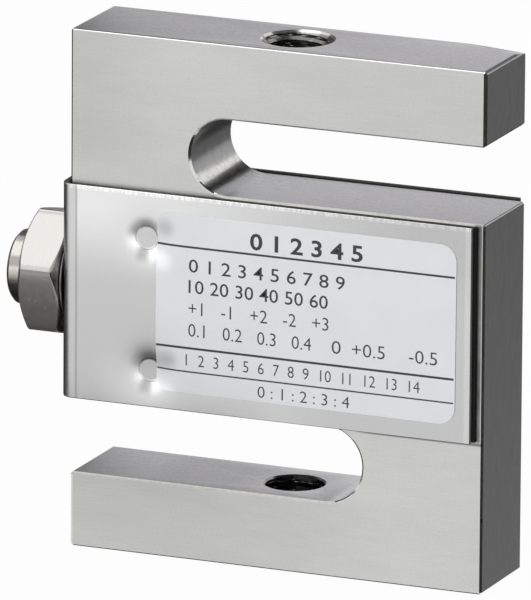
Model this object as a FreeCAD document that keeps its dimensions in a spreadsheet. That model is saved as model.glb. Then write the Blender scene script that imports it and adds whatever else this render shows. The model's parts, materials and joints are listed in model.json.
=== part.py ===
import FreeCAD, Part
import math
import os

import Sketcher
from FreeCAD import Placement, Rotation, Vector

# An s type load cell: a block of nickel plated steel, slotted from two sides into an S, with a
# threaded hole in each end beam. The middle section holds a gauge cavity of two bores, closed by
# a folded sheet cover that wraps the front, the left side and the back. A cable gland stands on
# the left side.
#
# Frame, in millimetres: the origin is the mouth of the lower threaded hole, at the middle of the
# bottom face. +Z is the load axis, +X points away from the gland, -Y is the labelled front.

DRIVING_SIZES = [
    # alias, value, what it sets
    ("body_width", 50.8, "block, left to right"),
    ("body_height", 60.9, "block, bottom face to top face"),
    ("body_thickness", 12.0, "block, front to back"),
    ("beam_height", 8.8, "solid height of each end beam"),
    ("slot_gap", 8.9, "clear height of each slot"),
    ("slot_web", 14.75, "solid width left at the closed end of each slot"),
    ("edge_chamfer", 0.25, "chamfer on the outer edges"),
    ("free_end_chamfer", 0.35, "chamfer round the free end of each end beam"),
    ("thread_bore", 6.8, "bore of the M8 threads, diameter"),
    ("thread_mouth", 8.6, "countersink of the M8 threads, diameter"),
    ("thread_mouth_angle", 90.0, "countersink of the M8 threads, full angle"),
    ("thread_exit_chamfer", 0.2, "chamfer where each thread breaks into its slot"),
    ("cavity_bore", 8.8, "gauge cavity, radius of each of its two bores"),
    ("cavity_pitch", 16.0, "gauge cavity, distance between its two bores"),
    ("cavity_link", 7.6, "gauge cavity, height of the passage between its two bores"),
    ("fit_clearance", 0.02, "bonded or filled joint between curved faces"),
    ("thread_clearance", 0.05, "between two mating thread flanks"),
    ("cover_sheet", 0.5, "cover, sheet thickness"),
    ("cover_bend", 1.55, "cover, outside radius of its two folds"),
    ("cover_front_margin", 1.2, "cover, front flange short of the block's right side"),
    ("cover_rear_margin", 0.8, "cover, rear flange short of the block's right side"),
    ("cover_top_inset", 0.25, "cover, short of the section's top face"),
    ("cover_low_inset", 0.05, "cover, short of the section's bottom face"),
    ("sealant_gap", 0.45, "sealant between the block and the cover"),
    ("sealant_bead", 0.35, "sealant squeezed out past the end of each flange"),
    ("sealant_inset", 0.15, "sealant short of the cover's long edges"),
    ("dimple_side", 10.1, "spot dimples, in from the block's left side"),
    ("dimple_top", 5.6, "upper spot dimples, below the section's top face"),
    ("dimple_low", 4.5, "lower spot dimples, above the section's bottom face"),
    ("dimple_floor", 1.3, "spot dimples, radius of the flat floor"),
    ("dimple_mouth", 2.5, "spot dimples, radius at the face of the sheet"),
    ("label_film", 0.1, "label, film thickness"),
    ("label_left", 0.95, "label, left edge right of the dimples' centres"),
    ("label_right", 1.8, "label, right edge short of the front flange's end"),
    ("label_top", 2.35, "label, top edge below the section's top face"),
    ("label_low", 2.2, "label, bottom edge above the section's bottom face"),
    ("label_tilt", 0.25, "label, turned to the right by hand, degrees"),
    ("label_left_corner", 1.4, "label, radius of the two left corners"),
    ("label_right_corner", 2.0, "label, radius of the two right corners"),
    ("gauge_angle", 44.0, "strain gauge, arc on the bore wall, degrees"),
    ("gauge_width", 6.0, "strain gauge, front to back"),
    ("gauge_film", 0.15, "strain gauge, foil, backing and bond"),
    ("board_width", 10.0, "terminal board, left to right"),
    ("board_margin", 1.0, "terminal board, clear of the passage above and below"),
    ("board_thick", 0.8, "terminal board, thickness"),
    ("board_back", 2.6, "terminal board, its front face behind the middle plane"),
    ("pad_size", 0.8, "solder pads, side of the square"),
    ("pad_height", 0.2, "solder pads, height over the board"),
    ("pad_pitch", 1.9, "solder pads, spacing in the cable row"),
    ("resistor_radius", 0.6, "trim resistors, radius"),
    ("resistor_length", 3.4, "trim resistors, length"),
    ("resistor_inset", 0.1, "trim resistors, in from the board's long edges"),
    ("lead_thick", 0.1, "gauge leads, ribbon thickness"),
    ("lead_width", 0.3, "gauge leads, ribbon width"),
    ("lead_fold", 1.2, "gauge leads, leg of the tighter ribbon's folded corner"),
    ("lead_pitch", 0.8, "gauge leads, spacing of a pair"),
    ("lead_rise", 1.5, "gauge leads, height over the board's middle line"),
    ("lead_landing", 0.7, "gauge leads, length that lies on the board"),
    ("gland_rise", 0.25, "gland, axis above the middle of the section"),
    ("gland_thread", 3.7, "gland, radius of its tapped hole in the block"),
    ("gland_spigot", 6.3, "gland, spigot length inside the block"),
    ("gland_spigot_chamfer", 0.4, "gland, chamfer on the spigot's end"),
    ("gland_bore", 2.6, "gland, radius of the bore through the spigot"),
    ("gland_flats", 14.0, "gland, hexagon across flats"),
    ("gland_hex_height", 4.9, "gland, hexagon height"),
    ("gland_turn", 11.0, "gland, one corner of the hexagon above the front, degrees"),
    ("gland_hex_chamfer", 30.0, "gland, chamfer of the hexagon's corners, degrees"),
    ("gland_chamfer_rim", 0.15, "gland, the chamfer's circle inside the flats"),
    ("gland_chamber", 3.9, "gland, radius of the threaded chamber for the nipple"),
    ("gland_chamber_depth", 4.0, "gland, depth of the threaded chamber"),
    ("washer_radius", 6.5, "gland washer, outside radius"),
    ("washer_thick", 0.3, "gland washer, thickness"),
    ("washer_play", 0.4, "gland washer and cover hole, play round the spigot"),
    ("ring_width", 1.35, "gland seal ring, width of its flat section"),
    ("ring_play", 0.1, "gland seal ring, play round the spigot and in its seat"),
    ("ring_seat", 0.9, "gland seal ring, depth of its seat in the block"),
    ("bush_height", 1.9, "seal bush, height"),
    ("bush_bore", 2.5, "seal bush, radius of its bore"),
    ("bush_taper", 0.5, "seal bush, taper at its outer end"),
    ("bush_play", 0.1, "seal bush and thrust ring, play in the chamber"),
    ("thrust_height", 0.4, "thrust ring, height"),
    ("nipple_bore", 2.7, "nipple, radius of the cable bore"),
    ("nipple_radius", 4.3, "nipple, radius of the turned nose"),
    ("nipple_nose", 2.7, "nipple, nose standing out of the hexagon"),
    ("nipple_undercut", 0.3, "nipple, undercut beside the hexagon"),
    ("nipple_groove", 0.25, "nipple, width and depth of the groove round the nose"),
    ("nipple_collar", 0.55, "nipple, collar between the undercut and the groove"),
    ("nipple_chamfer", 0.4, "nipple, chamfers at the nose's end and bore"),
]

HEX_CORNERS = 6
FULL_TURN = 360.0
CABLE_CORES = 4
FOLD = 45.0             # each of the two folds that turn a lead from its gauge to the board
OVERRUN = 5.0           # how far a cutting outline runs past the metal it cuts


class Measure:
    """A length or angle with the spreadsheet formula that it comes from."""

    def __init__(self, value, text):
        self.value = value
        self.text = text

    @staticmethod
    def of(other):
        """Take a bare number as a measure of its own."""
        if isinstance(other, Measure):
            return other
        return Measure(float(other), repr(float(other)))

    def joined(self, other, sign, value):
        return Measure(value, "(%s %s %s)" % (self.text, sign, Measure.of(other).text))

    def __add__(self, other):
        return self.joined(other, "+", self.value + Measure.of(other).value)

    def __sub__(self, other):
        return self.joined(other, "-", self.value - Measure.of(other).value)

    def __mul__(self, other):
        return self.joined(other, "*", self.value * Measure.of(other).value)

    def __truediv__(self, other):
        return self.joined(other, "/", self.value / Measure.of(other).value)

    def __neg__(self):
        return Measure(-self.value, "(-1 * %s)" % self.text)


def cosine(angle):
    """Cosine of a measure in degrees."""
    angle = Measure.of(angle)
    return Measure(math.cos(math.radians(angle.value)), "cos(%s)" % angle.text)


def sine(angle):
    """Sine of a measure in degrees."""
    angle = Measure.of(angle)
    return Measure(math.sin(math.radians(angle.value)), "sin(%s)" % angle.text)


def tangent(angle):
    """Tangent of a measure in degrees."""
    return sine(angle) / cosine(angle)


class Sizes:
    """Every driving size by its alias, and the sizes that follow from them."""

    def __init__(self, document):
        self.sheet = document.addObject("Spreadsheet::Sheet", "Sizes")
        for row, (alias, value, meaning) in enumerate(DRIVING_SIZES, start=1):
            self.sheet.set("A%d" % row, meaning)
            self.sheet.set("B%d" % row, str(value))
            self.sheet.setAlias("B%d" % row, alias)
        document.recompute()
        for alias, _, _ in DRIVING_SIZES:
            setattr(self, alias, Measure(float(self.sheet.get(alias)), "Sizes." + alias))

        # the block
        self.half_width = self.body_width / 2
        self.half_thickness = self.body_thickness / 2
        self.upper_beam_low = self.body_height - self.beam_height
        self.section_top = self.upper_beam_low - self.slot_gap
        self.section_low = self.beam_height + self.slot_gap
        self.section_middle = (self.section_top + self.section_low) / 2
        self.slot_radius = self.slot_gap / 2
        # the slots end at this distance from the load axis, and their round ends are centred there
        self.slot_end = self.half_width - self.slot_web
        self.slot_centre = self.slot_end - self.slot_radius

        # inside the cavity
        self.board_half_height = self.cavity_link / 2 - self.board_margin
        self.resistor_level = self.board_half_height - self.resistor_inset - self.resistor_radius

        # the cover and its sealant
        self.cover_in_y = self.half_thickness + self.sealant_gap
        self.cover_out_y = self.cover_in_y + self.cover_sheet
        self.cover_in_x = self.half_width + self.sealant_gap
        self.cover_out_x = self.cover_in_x + self.cover_sheet
        self.cover_low = self.section_low + self.cover_low_inset
        self.cover_high = self.section_top - self.cover_top_inset
        self.front_end = self.half_width - self.cover_front_margin
        self.rear_end = self.half_width - self.cover_rear_margin
        self.dimple_x = self.dimple_side - self.half_width

        # the label
        self.label_x_low = self.dimple_x + self.label_left
        self.label_x_high = self.front_end - self.label_right
        self.label_z_low = self.section_low + self.label_low
        self.label_z_high = self.section_top - self.label_top

        # the gland, measured outwards from the left side of the block
        self.gland_axis = self.section_middle + self.gland_rise
        self.web_face = self.sealant_gap + self.cover_sheet
        self.hex_low = self.web_face + self.washer_thick
        self.hex_high = self.hex_low + self.gland_hex_height
        self.spigot_radius = self.gland_thread - self.thread_clearance
        self.chamber_floor = self.hex_high - self.gland_chamber_depth
        self.bush_top = self.chamber_floor + self.bush_height
        self.thrust_top = self.bush_top + self.thrust_height
        self.nose_end = self.hex_high + self.nipple_nose
        self.ring_inside = self.spigot_radius + self.ring_play
        self.ring_outside = self.ring_inside + self.ring_width


def bind(thing, path, measure):
    """Tie a property, or part of one, to its formula in the sheet."""
    thing.setExpression(path, Measure.of(measure).text)


def origin_plane(body, role):
    for feature in body.Origin.OriginFeatures:
        if feature.Role == role:
            return feature
    raise RuntimeError("no plane " + role)


def new_body(document, name):
    body = document.addObject("PartDesign::Body", name)
    body.Label = name
    return body


def new_sketch(body, name, role, offset=(0, 0, 0)):
    """A sketch on an origin plane of its own body, moved by three measures in the plane's axes."""
    sketch = body.newObject("Sketcher::SketchObject", name)
    sketch.AttachmentSupport = [(origin_plane(body, role), "")]
    sketch.MapMode = "FlatFace"
    for axis, measure in zip("xyz", offset):
        if Measure.of(measure).value:
            bind(sketch, "AttachmentOffset.Base." + axis, measure)
    return sketch


def pin_point(sketch, name, geometry, point, x, y):
    """Dimension a point from the sketch's origin, both ways that are given."""
    for suffix, kind, measure in (("_x", "DistanceX", x), ("_y", "DistanceY", y)):
        if measure is None:
            continue
        measure = Measure.of(measure)
        sketch.addConstraint(Sketcher.Constraint(kind, -1, 1, geometry, point, measure.value))
        index = sketch.ConstraintCount - 1
        sketch.renameConstraint(index, name + suffix)
        bind(sketch, "Constraints." + name + suffix, measure)


def draw_outline(sketch, name, corners):
    """A closed outline through corners.

    Each corner is (x, y) where a line starts, or (x, y, centre x, centre y, turn) where an arc
    starts, with a turn of +1 for one drawn counter-clockwise and -1 for one drawn clockwise.
    """
    corners = [[Measure.of(item) for item in corner] for corner in corners]
    count = len(corners)
    first = sketch.GeometryCount
    starts = []
    for index, corner in enumerate(corners):
        following = corners[(index + 1) % count]
        start = Vector(corner[0].value, corner[1].value, 0)
        finish = Vector(following[0].value, following[1].value, 0)
        if len(corner) == 2:
            sketch.addGeometry(Part.LineSegment(start, finish), False)
            starts.append((1, 2))
            continue
        centre = Vector(corner[2].value, corner[3].value, 0)
        circle = Part.Circle(centre, Vector(0, 0, 1), (start - centre).Length)
        if corner[4].value > 0:
            low, high = start - centre, finish - centre
            starts.append((1, 2))
        else:
            low, high = finish - centre, start - centre
            starts.append((2, 1))
        low_angle = math.atan2(low.y, low.x)
        high_angle = math.atan2(high.y, high.x)
        if high_angle < low_angle:
            high_angle += 2 * math.pi
        sketch.addGeometry(Part.ArcOfCircle(circle, low_angle, high_angle), False)
    for index, corner in enumerate(corners):
        geometry = first + index
        following = first + (index + 1) % count
        meeting = starts[(index + 1) % count][0]
        sketch.addConstraint(
            Sketcher.Constraint("Coincident", geometry, starts[index][1], following, meeting))
        pin_point(sketch, "%s_%d" % (name, index), geometry, starts[index][0], corner[0], corner[1])
        if len(corner) == 5:
            # both ends are set already, so one way is enough for the centre: across the chord
            chord_x = abs(corners[(index + 1) % count][0].value - corner[0].value)
            chord_y = abs(corners[(index + 1) % count][1].value - corner[1].value)
            across_x = corner[2] if chord_y >= chord_x else None
            across_y = corner[3] if chord_y < chord_x else None
            pin_point(sketch, "%s_%d_centre" % (name, index), geometry, 3, across_x, across_y)


def draw_box(sketch, name, x_low, x_high, y_low, y_high):
    draw_outline(sketch, name, [(x_low, y_low), (x_high, y_low), (x_high, y_high), (x_low, y_high)])


def draw_circle(sketch, name, x, y, radius):
    x, y, radius = (Measure.of(item) for item in (x, y, radius))
    centre = Vector(x.value, y.value, 0)
    geometry = sketch.addGeometry(Part.Circle(centre, Vector(0, 0, 1), radius.value), False)
    if x.value or y.value:
        pin_point(sketch, name, geometry, 3, x, y)
    else:
        sketch.addConstraint(Sketcher.Constraint("Coincident", geometry, 3, -1, 1))
    sketch.addConstraint(Sketcher.Constraint("Radius", geometry, radius.value))
    sketch.renameConstraint(sketch.ConstraintCount - 1, name + "_radius")
    bind(sketch, "Constraints.%s_radius" % name, radius)


def pad(body, sketch, name, length, symmetric=False):
    feature = body.newObject("PartDesign::Pad", name)
    feature.Profile = sketch
    feature.Midplane = symmetric
    bind(feature, "Length", length)
    return feature


def pocket_through(body, sketch, name):
    """Cut a sketch through everything, both ways."""
    feature = body.newObject("PartDesign::Pocket", name)
    feature.Profile = sketch
    feature.Type = "ThroughAll"
    feature.Midplane = True
    return feature


def pocket(body, sketch, name, length, along_normal=False):
    feature = body.newObject("PartDesign::Pocket", name)
    feature.Profile = sketch
    feature.Type = "Length"
    feature.Reversed = along_normal
    bind(feature, "Length", length)
    return feature


def turn(body, sketch, name, kind="Revolution", angle=None):
    """Revolve or groove a sketch about its own upright axis."""
    feature = body.newObject("PartDesign::" + kind, name)
    feature.Profile = sketch
    feature.ReferenceAxis = (sketch, ["V_Axis"])
    if angle is None:
        feature.Angle = FULL_TURN
    else:
        feature.Midplane = True
        bind(feature, "Angle", angle)
    return feature


def chamfer(body, name, base, test, size):
    """Chamfer the edges of the base feature that pass a test."""
    body.Document.recompute()
    names = ["Edge%d" % number
             for number, edge in enumerate(base.Shape.Edges, start=1) if test(edge)]
    feature = body.newObject("PartDesign::Chamfer", name)
    feature.Base = (base, names)
    bind(feature, "Size", size)
    body.Tip = feature
    return feature


def near(first, second):
    return abs(first - second) < 1e-4


def flat_at(edge, axis, value):
    """True where the whole edge lies at one value of an axis."""
    box = edge.BoundBox
    low = getattr(box, axis + "Min")
    high = getattr(box, axis + "Max")
    return near(low, value) and near(high, value)


# --- the block -------------------------------------------------------------------------------

def slot_outline(size, side):
    """A slot open at one side: +1 opens to the right, -1 to the left, with a round closed end."""
    low = size.section_top if side > 0 else size.beam_height
    high = low + size.slot_gap
    open_end = (size.half_width + OVERRUN) * side
    centre = size.slot_centre * -side
    middle = low + size.slot_radius
    if side > 0:
        return [(centre, low), (open_end, low), (open_end, high), (centre, high, centre, middle, 1)]
    return [(open_end, low), (centre, low, centre, middle, 1), (centre, high), (open_end, high)]


def cavity_outlines(size, radius, half_link):
    """The passage between the two bores of the gauge cavity, then each bore."""
    half_pitch, middle = size.cavity_pitch / 2, size.section_middle
    yield "cavity_passage", lambda sketch: draw_box(
        sketch, "passage", -half_pitch, half_pitch, middle - half_link, middle + half_link)
    yield "cavity_left", lambda sketch: draw_circle(sketch, "left", -half_pitch, middle, radius)
    yield "cavity_right", lambda sketch: draw_circle(sketch, "right", half_pitch, middle, radius)


def build_block(document, size):
    body = new_body(document, "s_body")
    outline = new_sketch(body, "block_outline", "XZ_Plane")
    draw_box(outline, "block", -size.half_width, size.half_width, 0, size.body_height)
    pad(body, outline, "block", size.body_thickness, symmetric=True)

    for name, side in (("upper_slot", 1), ("lower_slot", -1)):
        sketch = new_sketch(body, name + "_outline", "XZ_Plane")
        draw_outline(sketch, name, slot_outline(size, side))
        slotted = pocket_through(body, sketch, name)

    width, height, thick = size.half_width.value, size.body_height.value, size.half_thickness.value

    def round_free_end(edge):
        middle = edge.BoundBox.Center
        right_end = flat_at(edge, "X", width) and middle.z > size.upper_beam_low.value - 1e-4
        left_end = flat_at(edge, "X", -width) and middle.z < size.beam_height.value + 1e-4
        return right_end or left_end

    ends = chamfer(body, "free_end_chamfers", slotted, round_free_end, size.free_end_chamfer)

    def outer_edge(edge):
        box = edge.BoundBox
        free_x = width - size.free_end_chamfer.value
        on_free_end = (box.XMin > free_x - 1e-4 and box.ZMin > size.upper_beam_low.value - 1e-4
                       or box.XMax < -free_x + 1e-4 and box.ZMax < size.beam_height.value + 1e-4)
        on_face = flat_at(edge, "Y", thick) or flat_at(edge, "Y", -thick)
        outer_side = (flat_at(edge, "X", width) or flat_at(edge, "X", -width)
                      or flat_at(edge, "Z", 0) or flat_at(edge, "Z", height))
        across = near(box.XMin, box.XMax) and near(box.ZMin, box.ZMax)
        return not on_free_end and (on_face or outer_side and across)

    softened = chamfer(body, "edge_chamfers", ends, outer_edge, size.edge_chamfer)

    for name, draw in cavity_outlines(size, size.cavity_bore, size.cavity_link / 2):
        sketch = new_sketch(body, name + "_outline", "XZ_Plane")
        draw(sketch)
        pocket_through(body, sketch, name)

    left_side = (0, size.gland_axis, -size.half_width)
    entry = new_sketch(body, "gland_thread_outline", "YZ_Plane", left_side)
    draw_circle(entry, "entry", 0, 0, size.gland_thread)
    pocket(body, entry, "gland_thread", size.half_width - size.cavity_pitch / 2, along_normal=True)
    seat = new_sketch(body, "ring_seat_outline", "YZ_Plane", left_side)
    draw_circle(seat, "seat", 0, 0, size.ring_outside + size.ring_play)
    pocket(body, seat, "ring_seat", size.ring_seat, along_normal=True)

    for name, level, upwards in (("upper", size.body_height, False), ("lower", 0, True)):
        centre = new_sketch(body, name + "_thread_centre", "XY_Plane", (0, 0, level))
        draw_circle(centre, "drill", 0, 0, size.thread_bore / 2)
        document.recompute()
        hole = body.newObject("PartDesign::Hole", name + "_thread")
        hole.Profile = centre
        hole.Threaded = False
        hole.HoleCutType = "Countersink"
        hole.DepthType = "Dimension"
        hole.DrillPoint = "Flat"
        hole.Reversed = upwards
        bind(hole, "Diameter", size.thread_bore)
        bind(hole, "HoleCutDiameter", size.thread_mouth)
        bind(hole, "HoleCutCountersinkAngle", size.thread_mouth_angle)
        bind(hole, "Depth", size.beam_height)

    def thread_exit(edge):
        box = edge.BoundBox
        centred = near(box.Center.x, 0) and near(box.Center.y, 0)
        level = flat_at(edge, "Z", size.beam_height.value) or flat_at(
            edge, "Z", size.upper_beam_low.value)
        return centred and level and near(box.XLength, size.thread_bore.value)

    chamfer(body, "thread_exits", hole, thread_exit, size.thread_exit_chamfer)
    return body


# --- the cover, its sealant and the label ------------------------------------------------------

def wrap_section(size, outside, inside, front_end, rear_end, radius_out, radius_in):
    """A U open to the right, between two offsets from the block's faces, seen from above."""
    out_x, out_y = size.half_width + outside, size.half_thickness + outside
    in_x, in_y = size.half_width + inside, size.half_thickness + inside
    turn_x, turn_y = out_x - radius_out, out_y - radius_out
    corners = [
        (rear_end, out_y),
        (-turn_x, out_y, -turn_x, turn_y, 1),
        (-out_x, turn_y),
        (-out_x, -turn_y, -turn_x, -turn_y, 1),
        (-turn_x, -out_y),
        (front_end, -out_y),
        (front_end, -in_y),
    ]
    if radius_in is None:
        corners += [(-in_x, -in_y), (-in_x, in_y)]
    else:
        corners += [
            (-turn_x, -in_y, -turn_x, -turn_y, -1),
            (-in_x, -turn_y),
            (-in_x, turn_y, -turn_x, turn_y, -1),
            (-turn_x, in_y),
        ]
    return corners + [(rear_end, in_y)]


def dimple_places(size):
    """The four spot dimples: front or rear flange, and their height."""
    upper, lower = size.section_top - size.dimple_top, size.section_low + size.dimple_low
    for side_name, side in (("front", -1), ("rear", 1)):
        yield side_name + "_upper", side, upper
        yield side_name + "_lower", side, lower


def gland_hole(body, size, name, radius, depth):
    """A round hole for the gland in the piece that stands on the block's left side."""
    sketch = new_sketch(body, name + "_outline", "YZ_Plane", (0, size.gland_axis, -size.half_width))
    draw_circle(sketch, "hole", 0, 0, radius)
    return pocket(body, sketch, name, depth)


def build_cover(document, size):
    """One folded sheet, pressed down to the block at four spot dimples."""
    body = new_body(document, "wrap_cover")
    section = new_sketch(body, "cover_section", "XY_Plane", (0, 0, size.cover_low))
    radius_in = size.cover_bend - size.cover_sheet
    draw_outline(section, "cover", wrap_section(
        size, size.sealant_gap + size.cover_sheet, size.sealant_gap, size.front_end, size.rear_end,
        size.cover_bend, radius_in))
    pad(body, section, "folded_sheet", size.cover_high - size.cover_low)
    gland_hole(body, size, "gland_hole", size.spigot_radius + size.washer_play, size.web_face)

    for name, side, level in dimple_places(size):
        place = (size.dimple_x, 0, level)
        outer = size.cover_out_y * side
        inner = size.cover_in_y * side
        deep_outer = (size.cover_out_y - size.sealant_gap) * side
        deep_inner = size.half_thickness * side
        under_floor = size.dimple_floor + size.cover_sheet / 2
        under_mouth = size.dimple_mouth + size.cover_sheet / 2

        opening = new_sketch(body, name + "_opening", "XY_Plane", place)
        draw_box(opening, "opening", 0, under_mouth, outer, inner)
        turn(body, opening, name + "_cut", kind="Groove")
        dish = new_sketch(body, name + "_dish", "XY_Plane", place)
        draw_outline(dish, "dish", [
            (0, deep_inner), (under_floor, deep_inner), (under_mouth, inner), (under_mouth, outer),
            (size.dimple_mouth, outer), (size.dimple_floor, deep_outer), (0, deep_outer)])
        turn(body, dish, name + "_dimple")
    return body


def build_sealant(document, size):
    """The dark compound that bonds the cover, pierced where the dimples and the gland pass."""
    body = new_body(document, "sealant_layer")
    section = new_sketch(body, "sealant_section", "XY_Plane",
                         (0, 0, size.cover_low + size.sealant_inset))
    radius_in = size.cover_bend - size.cover_sheet
    draw_outline(section, "sealant", wrap_section(
        size, size.sealant_gap, Measure.of(0), size.front_end + size.sealant_bead,
        size.rear_end + size.sealant_bead, radius_in, None))
    pad(body, section, "layer", size.cover_high - size.cover_low - size.sealant_inset * 2)
    gland_hole(body, size, "gland_hole", size.ring_outside + size.ring_play, size.web_face)
    spots = new_sketch(body, "dimple_outlines", "XZ_Plane")
    radius = size.dimple_mouth + size.cover_sheet / 2 + size.fit_clearance
    for name, side, level in dimple_places(size):
        if side < 0:
            draw_circle(spots, name, size.dimple_x, level, radius)
    pocket_through(body, spots, "dimple_holes")
    return body


def build_label(document, size):
    """A film label with round corners, put on slightly turned."""
    body = new_body(document, "rating_label")
    sketch = new_sketch(body, "label_outline", "XZ_Plane")
    right = (size.label_x_high - size.label_x_low) / 2
    top = (size.label_z_high - size.label_z_low) / 2
    small, large = size.label_left_corner, size.label_right_corner
    draw_outline(sketch, "label", [
        (-right + small, -top),
        (right - large, -top, right - large, -top + large, 1),
        (right, -top + large),
        (right, top - large, right - large, top - large, 1),
        (right - large, top),
        (-right + small, top, -right + small, top - small, 1),
        (-right, top - small),
        (-right, -top + small, -right + small, -top + small, 1),
    ])
    pad(body, sketch, "film", size.label_film)
    body.Placement = Placement(Vector(), Rotation(Vector(0, 1, 0), size.label_tilt.value))
    bind(body, "Placement.Rotation.Angle", size.label_tilt)
    bind(body, "Placement.Base.x", (size.label_x_low + size.label_x_high) / 2)
    bind(body, "Placement.Base.y", -size.cover_out_y)
    bind(body, "Placement.Base.z", (size.label_z_low + size.label_z_high) / 2)
    return body


# --- inside the gauge cavity -------------------------------------------------------------------

def build_gauge(document, size, name, side, level):
    """A foil gauge bonded to the thinnest wall of a cavity bore: side -1 left, level +1 top."""
    body = new_body(document, name)
    sketch = new_sketch(body, name + "_section", "YZ_Plane")
    outside = size.cavity_bore - size.fit_clearance
    half_width = size.gauge_width / 2
    draw_box(sketch, "strip", -half_width, half_width, outside - size.gauge_film, outside)
    strip = turn(body, sketch, name + "_strip", angle=size.gauge_angle)
    strip.ReferenceAxis = (sketch, ["H_Axis"])
    if level < 0:
        body.Placement = Placement(Vector(), Rotation(Vector(0, 1, 0), FULL_TURN / 2))
    bind(body, "Placement.Base.x", size.cavity_pitch / 2 * side)
    bind(body, "Placement.Base.z", size.section_middle)
    return body


def build_board(document, size):
    """The terminal board, upright between the two bores."""
    body = new_body(document, "terminal_board")
    sketch = new_sketch(body, "board_outline", "XZ_Plane", (0, size.section_middle, -size.board_back))
    half_width = size.board_width / 2
    draw_box(sketch, "board", -half_width, half_width, -size.board_half_height,
             size.board_half_height)
    plate = pad(body, sketch, "plate", size.board_thick)
    plate.Reversed = True
    return body


def facing_cylinder(document, name, radius, length, x, y, z, axis):
    """A Part cylinder that starts at a point and runs along an axis."""
    cylinder = document.addObject("Part::Cylinder", name)
    bind(cylinder, "Radius", radius)
    bind(cylinder, "Height", length)
    cylinder.Placement = Placement(Vector(), Rotation(Vector(0, 0, 1), axis))
    for letter, measure in zip("xyz", (x, y, z)):
        bind(cylinder, "Placement.Base." + letter, measure)
    return cylinder


def build_pads(document, size):
    """Square solder pads for the cable's cores, in a row along the middle of the board."""
    pads = []
    for index in range(CABLE_CORES):
        offset = size.pad_pitch * (index - (CABLE_CORES - 1) / 2)
        square = document.addObject("Part::Box", "cable_pad_%d" % index)
        bind(square, "Length", size.pad_size)
        bind(square, "Width", size.pad_height)
        bind(square, "Height", size.pad_size)
        bind(square, "Placement.Base.x", offset - size.pad_size / 2)
        bind(square, "Placement.Base.y", size.board_back - size.pad_height)
        bind(square, "Placement.Base.z", size.section_middle - size.pad_size / 2)
        pads.append(square)
    group = document.addObject("Part::Compound", "solder_pads")
    group.Label = "solder_pads"
    group.Links = pads
    return group


def build_resistor(document, size, name, side):
    """A trim resistor lying across the board: side +1 above the pads, -1 below them."""
    level = size.section_middle + size.resistor_level * side
    resistor = facing_cylinder(
        document, name, size.resistor_radius, size.resistor_length, -size.resistor_length / 2,
        size.board_back - size.resistor_radius - size.fit_clearance, level, Vector(1, 0, 0))
    resistor.Label = name
    return resistor


def lead_outline(size, side, level, inner):
    """One ribbon seen from the front: down from its gauge, round two folds, in to the board.

    Its corners are worked out for the upper right gauge and mirrored to the others. The wider
    ribbon of a pair runs parallel outside the tighter one. The outside of each fold is longer by
    the offset times the tangent of half the fold.
    """
    half_fold = tangent(FOLD / 2)
    step = Measure.of(0) if inner else size.lead_pitch
    near_x = size.cavity_pitch / 2 - size.lead_pitch / 2 + step
    far_x = near_x + size.lead_thick
    high_z = size.lead_rise - step
    low_z = high_z - size.lead_thick
    leg = size.lead_fold + step - step * half_fold
    shift = size.lead_thick * half_fold
    # the ribbon stops short of the curved face of the gauge
    start_z = size.cavity_bore - size.gauge_film - size.fit_clearance * 3
    landing = size.board_width / 2 - size.lead_landing
    corners = [
        (near_x, start_z), (near_x, high_z + leg), (near_x - leg, high_z), (landing, high_z),
        (landing, low_z), (near_x - leg + shift, low_z), (far_x, high_z + leg - shift),
        (far_x, start_z)]
    return [(x * side, z * level) for x, z in corners]


def build_leads(document, size):
    """Two ribbon leads from each gauge to the near edge of the board."""
    sketch = document.addObject("Sketcher::SketchObject", "lead_outlines")
    sketch.Placement = Placement(Vector(), Rotation(Vector(1, 0, 0), 90))
    bind(sketch, "Placement.Base.y", size.board_back - size.fit_clearance)
    bind(sketch, "Placement.Base.z", size.section_middle)
    for side, side_name in ((-1, "left"), (1, "right")):
        for level, level_name in ((-1, "lower"), (1, "upper")):
            for inner, lead_name in ((True, "tight"), (False, "wide")):
                name = "_".join((level_name, side_name, lead_name))
                draw_outline(sketch, name, lead_outline(size, side, level, inner))
    leads = document.addObject("Part::Extrusion", "gauge_leads")
    leads.Label = "gauge_leads"
    leads.Base = sketch
    leads.DirMode = "Custom"
    leads.Dir = Vector(0, -1, 0)
    leads.Solid = True
    bind(leads, "LengthFwd", size.lead_width)
    return leads


def build_potting(document, size, contents):
    """Silicone that fills the cavity round the pieces in it."""
    form = new_body(document, "potting_form")
    radius = size.cavity_bore - size.fit_clearance
    for name, draw in cavity_outlines(size, radius, size.cavity_link / 2 - size.fit_clearance):
        sketch = new_sketch(form, name + "_fill_outline", "XZ_Plane")
        draw(sketch)
        pad(form, sketch, name + "_fill", size.body_thickness, symmetric=True)
    inside = document.addObject("Part::Compound", "cavity_contents")
    inside.Links = contents
    potting = document.addObject("Part::Cut", "cavity_potting")
    potting.Label = "cavity_potting"
    potting.Base = form
    potting.Tool = inside
    return potting


# --- the cable gland ---------------------------------------------------------------------------

def seat_on_left_side(thing, size):
    """Turn a gland piece, made upright, to point out of the block's left side.

    Its own X turns to the front and its own Y turns up.
    """
    thing.Placement = Placement(
        Vector(), Rotation(Vector(0, -1, 0), Vector(0, 0, 1), Vector(-1, 0, 0), "ZXY"))
    bind(thing, "Placement.Base.x", -size.half_width)
    bind(thing, "Placement.Base.z", size.gland_axis)


def turned_piece(document, size, name, profile):
    """A piece turned about the gland's axis from one outline of (radius, distance out)."""
    body = new_body(document, name)
    sketch = new_sketch(body, name + "_profile", "XZ_Plane")
    draw_outline(sketch, "profile", profile)
    turn(body, sketch, name + "_turned")
    seat_on_left_side(body, size)
    return body


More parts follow.
